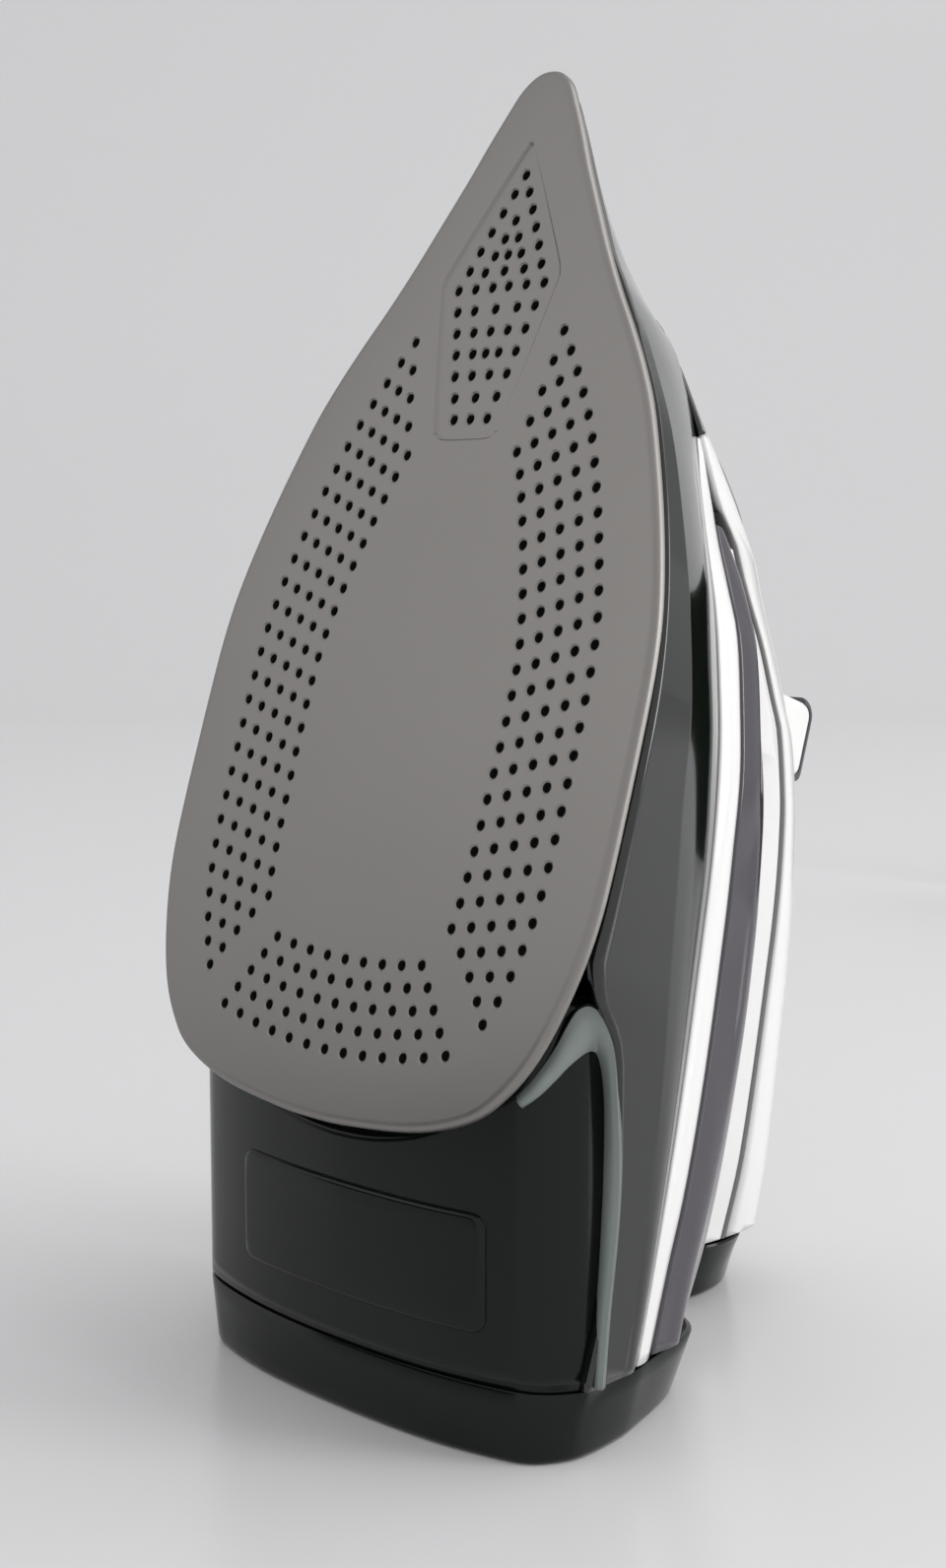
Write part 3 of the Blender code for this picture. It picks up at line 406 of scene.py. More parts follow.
def sole_ring(inset, y):
    """The whole outline as a ring at one depth."""
    half = [(p.x, y, p.y) for p in inset_half(SOLE_HALF, inset)]
    return half + [(-x, y, z) for x, y, z in reversed(half[1:-1])]


length = sum((b - a).length for a, b in zip(SOLE_HALF, SOLE_HALF[1:]))
print("half the outline is", round(length, 1), "mm round")

# %% [markdown]
# ## Where the steam comes out
# The vents form two side bands, an arc at the rear and a small field inside the tip panel. They are drilled
# in rungs: a rung starts on an outer row 15 mm inside the edge and runs inwards in steps of 5.1 mm, with one
# vent fewer for each rung nearer an end, which gives the bands their pointed ends. The tip field has two
# slanting rows each side, over six level rows that narrow towards the rear.

# %% Lay out the vents
VENT_RADIUS = 1.1
MOUTH_RADIUS = 1.5
VENT_PITCH = 5.64
RUNGS = 28
BAND_START = (22.3, 60.0)


def along_line(line, distance):
    """The point a distance along a polyline."""
    for a, b in zip(line, line[1:]):
        step = (b - a).length
        if distance <= step:
            return a + (b - a) * distance / step
        distance -= step
    return line[-1]


outer_row = [p for p in reversed(inset_half(SOLE_HALF, 15.0)) if p.y <= BAND_START[1]]
outer_row.insert(0, Vector(BAND_START))
vents = []
for rung in range(RUNGS):
    start = along_line(outer_row, rung * VENT_PITCH)
    slope = 0.33 + 0.0023 * start.y
    inwards = Vector((-1.0, -slope)).normalized() * (5.05 - 0.005 * start.y)
    for k in range(min(5, rung + 1, RUNGS - rung)):
        vent = start + inwards * k
        vents += [Vector((vent.x, vent.y)), Vector((-vent.x, vent.y))]
for row in range(5):
    count, reach = 13 - row, 34.4 - 3.0 * row
    for k in range(count):
        x = -reach + 2 * reach * k / (count - 1)
        vents.append(Vector((x, -92.4 + 4.15 * row - 4.4 * (reach / 34.4) ** 2 * (1 - (x / reach) ** 2))))
tip_vents = []
for z, xs in ((97.4, (0,)), (93.2, (2.2,)), (89.0, (4.4,)), (86.9, (0,)), (84.7, (6.6,)), (82.8, (2.0,)),
              (80.4, (8.7,)), (79.0, (0, 3.9)), (76.0, (10.7,)), (75.3, (0, 5.8)), (71.6, (2.4, 7.6, 12.8)),
              (66.5, (0, 6.4, 11.6)), (61.4, (0, 5.1, 10.3)), (56.4, (0, 3.9, 9.0)), (51.4, (2.6, 7.8)),
              (46.3, (0, 6.3)), (41.4, (0, 5.0))):
    for x in xs:
        tip_vents.append(Vector((x, z)))
        if x:
            tip_vents.append(Vector((-x, z)))
print(len(vents), "vents on the sole and", len(tip_vents), "in the tip panel")

# %% [markdown]
# ## Drill and form the soleplate
# The plate's face is one flat fill between its edge, its panel and its vents. triangle_fill makes that face
# with every hole left open in one step, where 400 Booleans would be slow and would leave slivers. Each vent
# is then drawn inwards: a bright countersink, then a wall and a floor coloured near black, painted shade for
# the darkness inside the hole. The panel at the tip is pressed 0.5 mm in.

# %% Build the soleplate
PANEL_POINTS = [(0, 104.5), (2.0, 102.5), (15.5, 78.5), (17.6, 73.5), (17.2, 69.5), (10.6, 41.0),
                (9.0, 38.0), (7.0, 36.6), (0, 36.4)]


def loop_of(bm, points):
    """A closed loop of edges through points, and its vertices in order."""
    verts = [bm.verts.new(p) for p in points]
    return verts, [bm.edges.new(pair) for pair in zip(verts, verts[1:] + verts[:1])]


def drawn_in(bm, edges, centre, spread, rise, shade):
    """Extrudes a loop, spreads it about a centre, moves it in depth and shades the wall."""
    grown = bmesh.ops.extrude_edge_only(bm, edges=edges)["geom"]
    fresh = [v for v in grown if isinstance(v, bmesh.types.BMVert)]
    bmesh.ops.scale(bm, verts=fresh, vec=spread, space=Matrix.Translation([-c for c in centre]))
    bmesh.ops.translate(bm, verts=fresh, vec=(0, rise, 0))
    for face in grown:
        if isinstance(face, bmesh.types.BMFace):
            face.material_index = shade
            face.smooth = True
    found = set(fresh)
    return [e for e in grown if isinstance(e, bmesh.types.BMEdge) and all(v in found for v in e.verts)]


def drill(bm, spots, depth):
    """Loops of a row of vents, their countersinks and walls; returns the loops at the face."""
    mouths = []
    for spot in spots:
        centre = (spot.x, depth, spot.y)
        turns = [2 * math.pi * k / 14 for k in range(14)]
        circle = [(spot.x + MOUTH_RADIUS * math.cos(a), depth, spot.y + MOUTH_RADIUS * math.sin(a))
                  for a in turns]
        _, mouth = loop_of(bm, circle)
        mouths += mouth
        sink = VENT_RADIUS / MOUTH_RADIUS
        edge = drawn_in(bm, mouth, centre, (sink, 1, sink), 0.3, 0)
        bottom = drawn_in(bm, edge, centre, (0.98, 1, 0.98), 1.5, 1)
        floor = bmesh.ops.holes_fill(bm, edges=bottom, sides=0)["faces"]
        for face in floor:
            face.material_index = 1
    return mouths


def flat_fill(bm, edges):
    """One flat face between loops, left as flat-shaded triangles."""
    made = bmesh.ops.triangle_fill(bm, use_beauty=True, use_dissolve=False, edges=edges, normal=(0, -1, 0))
    for face in made["geom"]:
        if isinstance(face, bmesh.types.BMFace):
            face.material_index = 0
            face.smooth = False


sole = bmesh.new()
rim_line, rim = loop_of(sole, sole_ring(2.0, 0.0))
panel_half = rounded([(x, z) for x, z in reversed(PANEL_POINTS)], 3)
panel_ring = [(p.x, 0, p.y) for p in panel_half] + [(-p.x, 0, p.y) for p in reversed(panel_half[1:-1])]
_, panel = loop_of(sole, panel_ring)
flat_fill(sole, rim + panel + drill(sole, vents, 0.0))
step = drawn_in(sole, panel, (0, 0, 68), (0.955, 1, 0.985), 0.5, 0)
flat_fill(sole, step + drill(sole, tip_vents, 0.5))
print("face and panel:", len(sole.faces), "faces")

# %% [markdown]
# The plate's edge is rounded by hand on a real iron, so that it glides over buttons and seams. Here the rim
# loop is carried round a quarter circle and up to the back of the plate, and the back is closed.

# %% Round the edge and finish
line, edges = rim_line, rim
EDGE_STEPS = [(1.3, 0.06), (0.7, 0.28), (0.25, 0.65), (0.0, 1.2), (0.0, 2.1), (0.2, 2.45), (0.6, 2.6)]
for inset, depth in EDGE_STEPS:
    line, edges = carry(sole, line, edges, sole_ring(inset, depth))
bmesh.ops.holes_fill(sole, edges=edges, sides=0)
pierced_sole = piece(sole, "pierced_soleplate", sole_metal, "iron_body", "soleplate", sharp=28,
                     slot="sole_steel")
# The second slot is the vents' painted shade.
pierced_sole.data.materials.append(painted_shade_vent)

# %% [markdown]
# ## The skirt
# The dark housing rises from the sole in two facets that meet in a soft crease. The lower facet stands nearly
# upright, the upper one leans in to the white strip. Each section is a short row from foot to top; near the
# tip the sections swing round until they stand along the nose.

# %% Model the skirt
crease_y = curve([(60, 7), (40, 8), (20, 10), (0, 13), (-16, 16.5), (-33, 20), (-51, 25), (-69, 30),
                  (-88, 35.0), (-101, 38), (-125, 42.6), (-155, 47)])
crease_x = curve([(60, 39.8), (41, 50.2), (22, 57.0), (3, 61.8), (-16, 64.0), (-33, 63.9), (-51, 63.2),
                  (-69, 62.4), (-88, 61.8), (-101, 61.2), (-125, 60.0), (-155, 58.6)])


def skirt_row(z):
    """The skirt's section on the right, from its foot over the crease to its top edge."""
    low, top, fold = skirt_low(z), skirt_top(z), max(crease_y(z), skirt_low(z) + 1.5)
    foot, head, out = skirt_foot(z) - 0.6, skirt_top_x(z), crease_x(z)
    out = min(out, skirt_foot(z) - 0.4)
    foot = foot if low < 6 else out + 0.3
    row = []
    for t in (0, 0.15, 0.3, 0.45, 0.6, 0.75, 0.88, 0.97, 1.0):
        row.append((foot + (out - foot) * t, low + (fold - low) * t))
    for t in [0.02] + [k / 15 for k in range(1, 16)]:
        row.append((out + (head - out) * t + 0.7 * math.sin(math.pi * t), fold + (top - fold) * t))
    return [(x, y, z) for x, y in row]


NOSE = [(60, 40.5, 60, 29.0), (70, 34.0, 69.5, 23.0), (78, 28.4, 75.3, 17.0), (87, 23.4, 79.5, 12.0),
        (98, 17.4, 82.0, 7.5), (106, 13.2, 83.0, 5.0), (112, 9.7, 83.6, 3.4), (118, 5.6, 84.0, 1.6),
        (121, 0.0, 84.2, 0.0)]
nose_x = curve([(z, x) for z, x, _, _ in NOSE])
nose_head_z = curve([(z, head_z) for z, _, head_z, _ in NOSE])
nose_head_x = curve([(z, head_x) for z, _, _, head_x in NOSE])


def nose_row(z):
    """A section that swings from the side round to the middle of the nose."""
    row = []
    base = skirt_row(60)
    blend = min(1.0, (z - 60) / 18)
    foot_x = max(nose_x(z), 0.0) if z < 121 else 0.0
    head_x = max(nose_head_x(z), 0.0) if z < 121 else 0.0
    for k in range(25):
        t = k / 24
        held = (base[k][1] - 4) / (base[-1][1] - 4)
        up = t + (held - t) * (1 - blend)
        bulge = 1.6 * math.sin(math.pi * up) * (1 - blend) * 0.6
        x = foot_x + (head_x - foot_x) * up + bulge
        row.append((x if z < 121 else 0.0, 4 + 30.3 * up, z + (nose_head_z(z) - z) * up))
    return row


right = [skirt_row(z) for z in stations(-160, 58, 3.5)] + [nose_row(z) for z in stations(61.5, 121, 3.5)]
left = [[(-x, y, z) for x, y, z in row] for row in reversed(right[:-1])]
skirt = piece(skin(right + left), "skirt_moulding", skirt_abs, "iron_body", "lower_housing", wall=2.2,
              level=SEAM, sharp=50, slot="dark_gloss")

# %% [markdown]
# ## The white strips
# A thin white strip lies between the skirt and the tank on each side and ends in a point near the nose. Its
# face is slightly crowned so that it catches one long highlight.

# %% Model the strips


def strip_row(z):
    low, high = skirt_top(z) + 0.25, strip_top(z) - 0.25
    low_x, high_x = skirt_top_x(z), strip_top_x(z)
    return [(low_x + (high_x - low_x) * t + 0.7 * math.sin(math.pi * t), low + (high - low) * t, z)
            for t in (k / 10 for k in range(11))]


for side, word in ((1, "right"), (-1, "left")):
    rows = [[(side * x, y, z) for x, y, z in strip_row(z)] for z in stations(-160, 48.4, 3.5)]
    piece(skin(rows), "white_strip_" + word, white_abs, "iron_body", "accent_strip_" + word, wall=2.0,
          level=SEAM, slot="white_gloss")

# %% [markdown]
# ## The water tank
# The tank is blow-moulded in a smoke tint. Its side bellies out from the strip, turns over a rounded
# shoulder, and runs in to a nearly flat deck under the hand.

# %% Model the tank


def tank_row(z):
    """The right half of the tank's section, from the strip over the shoulder to the middle."""
    low, high = strip_top(z) + 0.25, deck(z)
    foot, wide = strip_top_x(z), max(shoulder_x(z), 1.0)
    knots = [(foot, low), (max(foot, wide), low + 0.35 * (high - low)), (wide, low + 0.55 * (high - low)),
             (wide - 0.16 * (high - low), low + 0.8 * (high - low)), (wide - 0.5 * (high - low), high),
             (wide * 0.45, high + 0.4), (0, high + 0.6)]
    across = curve(list(enumerate(p[0] for p in knots)))
    up = curve(list(enumerate(p[1] for p in knots)))
    return [(across(k / 6) if k < 36 else 0.0, up(k / 6), z) for k in range(37)]


rows = [mirrored(tank_row(z)) for z in stations(-165, 32, 3.5)]
tank_front = [(0.97 * x, 50 + (y - 50) * 0.97, z + 0.8) for x, y, z in rows[-1]]
tank = piece(skin(rows + [tank_front, [(x * 0.6, 48, z) for x, _, z in tank_front]]), "tank_moulding",
             smoke_styrene, "iron_body", "water_tank", wall=2.0, level=SEAM, sharp=60, slot="smoke")

# %% [markdown]
# ## The handle
# The handle is two white shells with a thin grey inlay between them. The upper shell starts as the nose in
# front of the tank, climbs over the lid and the buttons and ends at the handle's foot. Its sections are half
# ellipses that grow sharper towards the nose.

# %% Model the upper shell
SHARPNESS = curve([(84, 1.9), (64, 1.75), (56, 1.65), (48, 1.5), (40, 1.35), (28, 1.3), (14, 1.28),
                   (0, 1.1), (-20, 1.0)])


def upper_row(z):
    edge_x, edge_y, top = max(inlay_x(z), 0.3), inlay_y(z) + 1.15, ridge(z)
    power = SHARPNESS(z)
    half = []
    for k in range(25):
        a = math.radians(90 * k / 24)
        x = edge_x * math.cos(a) ** power if k < 24 else 0.0
        half.append((x, edge_y + (top - edge_y) * math.sin(a) ** power, z))
    return mirrored(half)


# The white shell stops on a slanting line across the nose. In front of it the nose is dark like the skirt.
PART_LINE = Vector((0, 36.4, 49.5))
PART_SLOPE = Vector((0, -0.42, 1.0)).normalized()


def upper_skin():
    """The whole upper skin, from the heel to the nose."""
    return skin([upper_row(z) for z in stations(-155, 82, 2.5)])


def kept_side(bm, slope, start):
    """Keeps the part of a skin that lies beyond a slanting plane."""
    whole = bm.verts[:] + bm.edges[:] + bm.faces[:]
    bmesh.ops.bisect_plane(bm, geom=whole, plane_co=start, plane_no=slope, clear_inner=True)
    return bm


white_part = kept_side(upper_skin(), -PART_SLOPE, PART_LINE - 0.25 * PART_SLOPE)
upper_shell = piece(white_part, "upper_handle_moulding", white_abs, "iron_body", "handle_top_shell",
                    wall=2.2, level=SEAM, sharp=60, slot="white_gloss")
dark_part = kept_side(upper_skin(), PART_SLOPE, PART_LINE + 0.25 * PART_SLOPE)
nose_cap = piece(dark_part, "nose_moulding", skirt_abs, "iron_body", wall=2.2, sharp=60, slot="dark_gloss")

# %% [markdown]
# ## The fill lid
# The lid over the tank's filling hole is a smoke-tinted lens that rises from the nose. It follows the shell
# under it, so its foot line is found from the shell's own section, and its crown grows towards its middle.

# %% Model the lid


def shell_y(x, z):
    """Depth of the upper shell's face at a distance from the middle."""
    edge_y, power = inlay_y(z) + 1.15, SHARPNESS(z)
    share = min(abs(x) / inlay_x(z), 1.0)
    return edge_y + (ridge(z) - edge_y) * (1 - share ** (2 / power)) ** (power / 2)


rows = []
for z in stations(37.4, 56.6, 0.8):
    slope = math.atan2(ridge(z + 1) - ridge(z - 1), 2)
    up = Vector((0, math.cos(slope), -math.sin(slope)))
    along = (z - 37.4) / 19.2
    crown = max(1 - abs(2 * along - 1) ** 3.5, 0.0) ** 0.5
    wide = 11.6 * (0.8 + 0.2 * crown)
    ring = []
    for k in range(21):
        a = math.radians(180 * k / 20)
        x = wide * math.copysign(abs(math.cos(a)) ** 0.5, math.cos(a))
        lift = 2.2 + 6.0 * crown * math.sin(a) ** 0.45 if 0 < k < 20 else 2.2
        ring.append(Vector((x, shell_y(x, z), z)) + up * lift)
    foot = [Vector((wide * k, shell_y(wide * k, z), z)) + up * 1.7 for k in (-0.96, -0.5, 0, 0.5, 0.96)]
    rows.append([tuple(p) for p in ring + foot])
lid = piece(capped(rows), "fill_lid_lens", smoke_styrene, "lid", "fill_lid", sharp=45, slot="smoke")

# %% [markdown]
# ## The grip and the column
# The finger side of the handle is a trough of the same outline. In front it turns down into the column that
# stands on the deck, and its floor is rounded so that fingers find no edge.

# %% Model the lower shell
GRIP_START = -8.0


def lower_row(z, bottom, corner):
    """The right half of the trough's section, from its top edge round the corner to the middle."""
    top, x = inlay_y(z) - 1.15, inlay_x(z)
    corner = min(corner, 0.45 * (top - bottom), 0.8 * x)
    straight = [(x - 0.5 * t, top + (bottom + corner - top) * t) for t in (k / 10 for k in range(10))]
    turn = [(x - 0.5 - corner * (1 - math.cos(a)), bottom + corner * (1 - math.sin(a)))
            for a in (math.radians(90 * k / 12) for k in range(13))]
    floor = [((x - 0.5 - corner) * (1 - k / 6), bottom) for k in range(1, 7)]
    return [(a, b, z) for a, b in straight + turn + floor]


rows = [mirrored(lower_row(z, underside(z), 9.0)) for z in stations(-155, GRIP_START, 3.0)]
for share in (0.15, 0.4, 0.7, 0.9, 1.0):
    z = GRIP_START + 4.5 * share ** 2
    drop = underside(z) + (deck(z) + 1.2 - underside(z)) * share
    rows.append(mirrored(lower_row(z, drop, 9.0 - 5.5 * share)))
rows += [mirrored(lower_row(z, deck(z) + 1.2, 3.5)) for z in stations(-1, 31, 2.5)]
piece(skin(rows), "lower_handle_moulding", white_abs, "iron_body", "handle_grip_shell", wall=2.0,
                    level=SEAM, sharp=60, slot="white_gloss")

# %% [markdown]
# ## The inlays
# Between the shells runs a satin grey line, a separate strip that hides the joint.

# %% Model the inlays
for side, word in ((1, "right"), (-1, "left")):
    rows = []
    for z in stations(-155, 36, 2.5):
        x, y = inlay_x(z), inlay_y(z)
        ring = [(x - 2.0, y - 0.9), (x - 0.1, y - 0.9), (x + 0.12, y - 0.5), (x + 0.18, y),
                (x + 0.12, y + 0.5), (x - 0.1, y + 0.9), (x - 2.0, y + 0.9)]
        rows.append([(side * a, b, z) for a, b in ring])
    piece(capped(rows), "handle_line_" + word, inlay_abs, "iron_body", "handle_inlay_" + word, level=SEAM,
          sharp=50)

# %% [markdown]
# ## The heel
# Two dark caps carry the standing iron: a wide one under the body and a small one under the handle. Each is
# a shallow cup whose side leans out to meet the moulding over it, with a small groove at the seam.

# %% Model the caps
CAP_TOP = [(0, -27.8), (16, -27.3), (30, -25.8), (43, -23), (51, -19.8), (56, -14), (57.5, -8), (57.2, 3.7),
           (55.5, 11), (51.3, 28.5), (44, 35.5), (30, 38.5), (0, 39.5)]
CAP_FOOT = [(0, -27.0), (16, -26.6), (29, -25.4), (41, -22.8), (49, -19.8), (53.4, -14), (54.8, -8),
            (54.2, 2), (52.4, 10), (46.5, 28), (39, 36.5), (26, 40), (0, 41)]
FOOT_TOP = [(0, 67), (11, 68), (17.5, 73), (19.5, 80), (18.5, 88), (14.5, 94.5), (10, 98.7), (5, 101.6),
            (0, 102.6)]
FOOT_FOOT = [(0, 70), (6.5, 70.6), (11, 74), (12.8, 80), (12.3, 87), (10.5, 93), (7.5, 98), (4, 101),
             (0, 102)]


def cap_ring(half, inset, level):
    """A floor outline, rounded and drawn in, as a level ring."""
    fair = inset_half([Vector((p.x, p.y)) for p in rounded_floor(half)], inset)
    ring = [(p.x, p.y, level) for p in fair]
    return ring + [(-x, y, z) for x, y, z in reversed(ring[1:-1])]


def rounded_floor(half):
    """Like rounded, on the floor; an outline that stops short of the middle runs straight on."""
    closed = half[-1][0] == 0
    last = Vector((-half[-2][0], half[-2][1])) if closed else 2 * Vector(half[-1]) - Vector(half[-2])
    pts = [Vector((-half[1][0], half[1][1]))] + [Vector(p) for p in half] + [last]
    fair = []
    for a, b, c, d in zip(pts, pts[1:], pts[2:], pts[3:]):
        for t in (k / 5 for k in range(5)):
            fair.append(0.5 * (2 * b + (c - a) * t + (2 * a - 5 * b + 4 * c - d) * t**2
                               + (3 * b - a - 3 * c + d) * t**3))
    return fair + [Vector(half[-1])]


for name, node, foot, top in (("heel_cap_moulding", "heel_cap", CAP_FOOT, CAP_TOP),
                              ("handle_foot_moulding", "handle_foot", FOOT_FOOT, FOOT_TOP)):
    rings = [cap_ring(foot, 1.6, 0.0), cap_ring(foot, 0.9, 0.15), cap_ring(foot, 0.3, 0.6),
             cap_ring(foot, 0.0, 1.4)]
    rings += [cap_ring([(a[0] + (b[0] - a[0]) * t, a[1] + (b[1] - a[1]) * t) for a, b in zip(foot, top)],
                       0.0, 1.4 + 13.4 * t) for t in (0.25, 0.5, 0.75, 1.0)]
    rings += [cap_ring(top, 0.25, 15.3), cap_ring(top, 1.2, 15.5), cap_ring(top, 1.3, 15.95),
              cap_ring(top, 3.0, 15.95)]
    piece(capped(rings), name, cap_abs, "iron_body", node, leaned=False, sharp=50, slot="dark_gloss")

# %% [markdown]
# ## The front of the heel
# Below the sole's rear edge the heel has an upright glossy wall that curves round both corners. Its outline
# is fair, so that the room reflects in it as clean upright bands.

# %% Model the heel cover
FRONT = [(0, -27.8), (16, -27.3), (30, -25.8), (43, -23), (51, -19.8), (56, -14), (57.5, -9.0), (58.0, -4.0)]
COVER_CLEAR = 7.4
front_fair = rounded_floor(FRONT)


def front_y(x):
    """Depth of the heel cover's face at a distance from the middle."""
    for a, b in zip(front_fair, front_fair[1:]):
        if a.x <= abs(x) <= b.x:
            return a.y + (b.y - a.y) * (abs(x) - a.x) / (b.x - a.x)
    return front_fair[-1].y


def cover_column(p):
    """One upright row of the cover, from the heel cap to just behind the sole."""
    top = min(LIFT + (p.y * math.cos(LEAN) - COVER_CLEAR) / math.sin(LEAN), 96.0)
    return [(p.x, p.y, SEAM + 0.1 + (top - SEAM - 0.1) * k / 20) for k in range(21)]


columns = [cover_column(p) for p in front_fair]
columns = [[(-x, y, z) for x, y, z in row] for row in reversed(columns[1:])] + columns
cover = piece(skin(columns), "heel_front_moulding", cap_abs, "iron_body", "heel_cover", wall=2.0,
              leaned=False, sharp=60, slot="dark_gloss")

# %% [markdown]
# ## The blank plate
# A thin plate with round corners stands a millimetre proud of the heel. Its face follows the curved wall, and
# its edge is a quarter round, so each point's height comes from how far it lies inside the outline.

# %% Model the plate
PLATE_LEFT, PLATE_RIGHT, PLATE_LOW, PLATE_HIGH = -31.0, 41.0, 26.0, 51.0
PLATE_CORNER = 3.5
PLATE_RISE = 1.1


def inside_plate(x, z):
    """How far a point lies inside the rounded outline."""
    dx = max(PLATE_LEFT + PLATE_CORNER - x, x - PLATE_RIGHT + PLATE_CORNER)
    dz = max(PLATE_LOW + PLATE_CORNER - z, z - PLATE_HIGH + PLATE_CORNER)
    if dx > 0 and dz > 0:
        return PLATE_CORNER - math.hypot(dx, dz)
    return PLATE_CORNER - max(dx, dz)


def eased(low, high, fine, count):
    """Positions between two ends that lie closer together near both ends."""
    near = [fine * (1 - math.cos(math.radians(90 * k / 6))) for k in range(7)]
    far = stations(low + fine, high - fine, (high - low) / count)
    return [low + v for v in near[:-1]] + far + [high - v for v in reversed(near[:-1])]


rows = []
for x in eased(PLATE_LEFT, PLATE_RIGHT, PLATE_CORNER, 24):
    gap = min(x - PLATE_LEFT, PLATE_RIGHT - x)
    trim = PLATE_CORNER - math.sqrt(max(PLATE_CORNER**2 - max(PLATE_CORNER - gap, 0) ** 2, 0))
    row = []
    for z in eased(PLATE_LOW + trim, PLATE_HIGH - trim, 1.2, 8):
        depth = max(min(inside_plate(x, z) / PLATE_RISE, 1.0), 0.0)
        row.append((x, front_y(x) + 0.25 - (PLATE_RISE + 0.25) * math.sqrt(1 - (1 - depth) ** 2), z))
    rows.append(row)
plate = piece(skin(rows), "blank_plate", cap_abs, "iron_body", "rating_plate", wall=0.5, leaned=False,
              sharp=60)

# %% [markdown]
# ## The skirt's rim at the heel
# Where the skirt meets the heel wall its dark gloss edge turns forward and catches the light as a pale arch:
# narrow down the corner, broad over the top, and running out under the sole. The arch is a painted highlight,
# a band coloured pale satin grey between an outer and an inner curve, each drawn through a few places round
# the corner.

# %% Model the arch
OUTER = [(60.2, -10.6, 16.6), (60.4, -9.4, 31), (60.9, -7.8, 47), (61.3, -7.3, 60), (61.5, -8.0, 73),
         (61.2, -9.2, 85.5), (60.2, -11.4, 91.8), (59.2, -13.2, 94.0), (58.0, -14.9, 93.6),
         (56.6, -16.0, 90.9), (54.8, -17.3, 86.4), (53.3, -18.4, 83.3), (51.3, -20.4, 79.5),
         (48.2, -21.7, 75.6)]
INNER = [(57.4, -9.6, 16.6), (57.6, -8.3, 31), (57.8, -7.2, 47), (57.9, -6.6, 60), (57.9, -6.5, 72),
         (57.9, -7.2, 79.5), (57.7, -8.6, 84.2), (57.3, -10.5, 85.6), (56.9, -12.3, 85.5),
         (56.2, -13.8, 84.6), (54.9, -15.9, 82.6), (53.2, -18.0, 79.8), (51.2, -20.1, 77.0),
         (48.2, -21.5, 74.4)]
outer_line = [curve([(i, p[axis]) for i, p in enumerate(OUTER)]) for axis in range(3)]
inner_line = [curve([(i, p[axis]) for i, p in enumerate(INNER)]) for axis in range(3)]
for side, word in ((1, "right"), (-1, "left")):
    rows = []
    for t in stations(0, len(OUTER) - 1, 0.2):
        a = Vector([f(t) for f in outer_line])
        b = Vector([f(t) for f in inner_line])
        row = [a.lerp(b, k / 8) + Vector((0.35, -0.5, 0)) * math.sin(math.pi * k / 8) for k in range(9)]
        row = [a + Vector((-0.6, 0.9, 0))] + row + [b + Vector((-0.9, 0.6, 0))]
        rows.append([(side * p.x, p.y, p.z) for p in row])
    # The rim's pale grey is a painted highlight on the skirt's dark gloss edge.
    piece(skin(rows), "skirt_rim_" + word, skirt_rim_painted_highlight, "iron_body", wall=0.8, leaned=False, sharp=50,
          slot="dark_gloss")

# %% [markdown]
# ## The buttons
# The steam and spray buttons are white keys with a thin dark rubber pad that wraps over the top and down the
# front, where the thumb arrives. A real key is moulded in two shots. Both parts share one side outline: the
# key is drawn in behind the pad, and each is lofted across the button with its ends eased in.

# %% Model the buttons


def button_side(inset, x):
    """The key's closed side outline, drawn in by an inset, from the foot up the front and over the top."""
    front, rear, top = 11.5 - inset, -9.5 + inset, 124.0 - inset
    ring = [(x, 110.0, rear), (x, 110.0, front)]
    for corner, centre_z, turn in ((5.0 - inset, front - 5.0 + inset, 0), (2.4, rear + 2.4, 90)):
        for k in range(9):
            a = math.radians(turn + 90 * k / 8)
            ring.append((x, top - corner + corner * math.sin(a), centre_z + corner * math.cos(a)))
    return ring


KEY_WIDTH = 14.0
KEY_MIDDLE = 8.4
ENDS = [(0.0, 1.3), (0.15, 0.7), (0.5, 0.25), (1.2, 0.0)]
for side, word in ((1, "steam"), (-1, "spray")):
    left = side * KEY_MIDDLE - KEY_WIDTH / 2
    ends = [(left + step, inset) for step, inset in ENDS]
    ends += [(left + KEY_WIDTH - step, inset) for step, inset in reversed(ENDS)]
    key = [button_side(1.25 + inset, x) for x, inset in ends]
    piece(capped(key), word + "_key_cap", white_abs, word + "_key", word + "_button", slot="white_gloss")
    over = [button_side(inset, x)[2:] + button_side(1.15 + 0.4 * inset, x)[:1:-1] for x, inset in ends]
    piece(capped(over), word + "_key_pad", pad_rubber, word + "_key", word + "_button_pad", sharp=50)

# %% [markdown]
# ## The temperature dial
# The dial under the handle is a low drum with a ribbed rim for the thumb and a bar across a dished top. The
# ribs are a ripple in the radius, so the rim stays one skin of quads.

# %% Model the dial
DIAL_Z = -48.0
dial_low = max(deck(DIAL_Z - 21), deck(DIAL_Z + 21)) + 1.8


def dial_ring(radius, level, ripple):
    """One ring of the dial with its ribs."""
    angles = [2 * math.pi * k / 192 for k in range(192)]
    return [((radius - ripple * (1 + math.cos(32 * a)) / 2) * math.cos(a), level,
             DIAL_Z + (radius - ripple * (1 + math.cos(32 * a)) / 2) * math.sin(a)) for a in angles]


drum = [dial_ring(19.3, dial_low, 0), dial_ring(20.6, dial_low + 0.4, 0), dial_ring(21, dial_low + 1.2, 0),
        dial_ring(21, dial_low + 1.8, 0.8), dial_ring(20.5, dial_low + 6.4, 0.8),
        dial_ring(20.2, dial_low + 7.0, 0), dial_ring(19.4, dial_low + 7.8, 0),
        dial_ring(18.2, dial_low + 8.1, 0), dial_ring(16.8, dial_low + 7.9, 0),
        dial_ring(12, dial_low + 7.2, 0), dial_ring(5, dial_low + 7.0, 0)]
piece(capped(drum), "dial_drum", matte_grey, "temperature_control", "temperature_dial", sharp=40,
      slot="grey_matte")


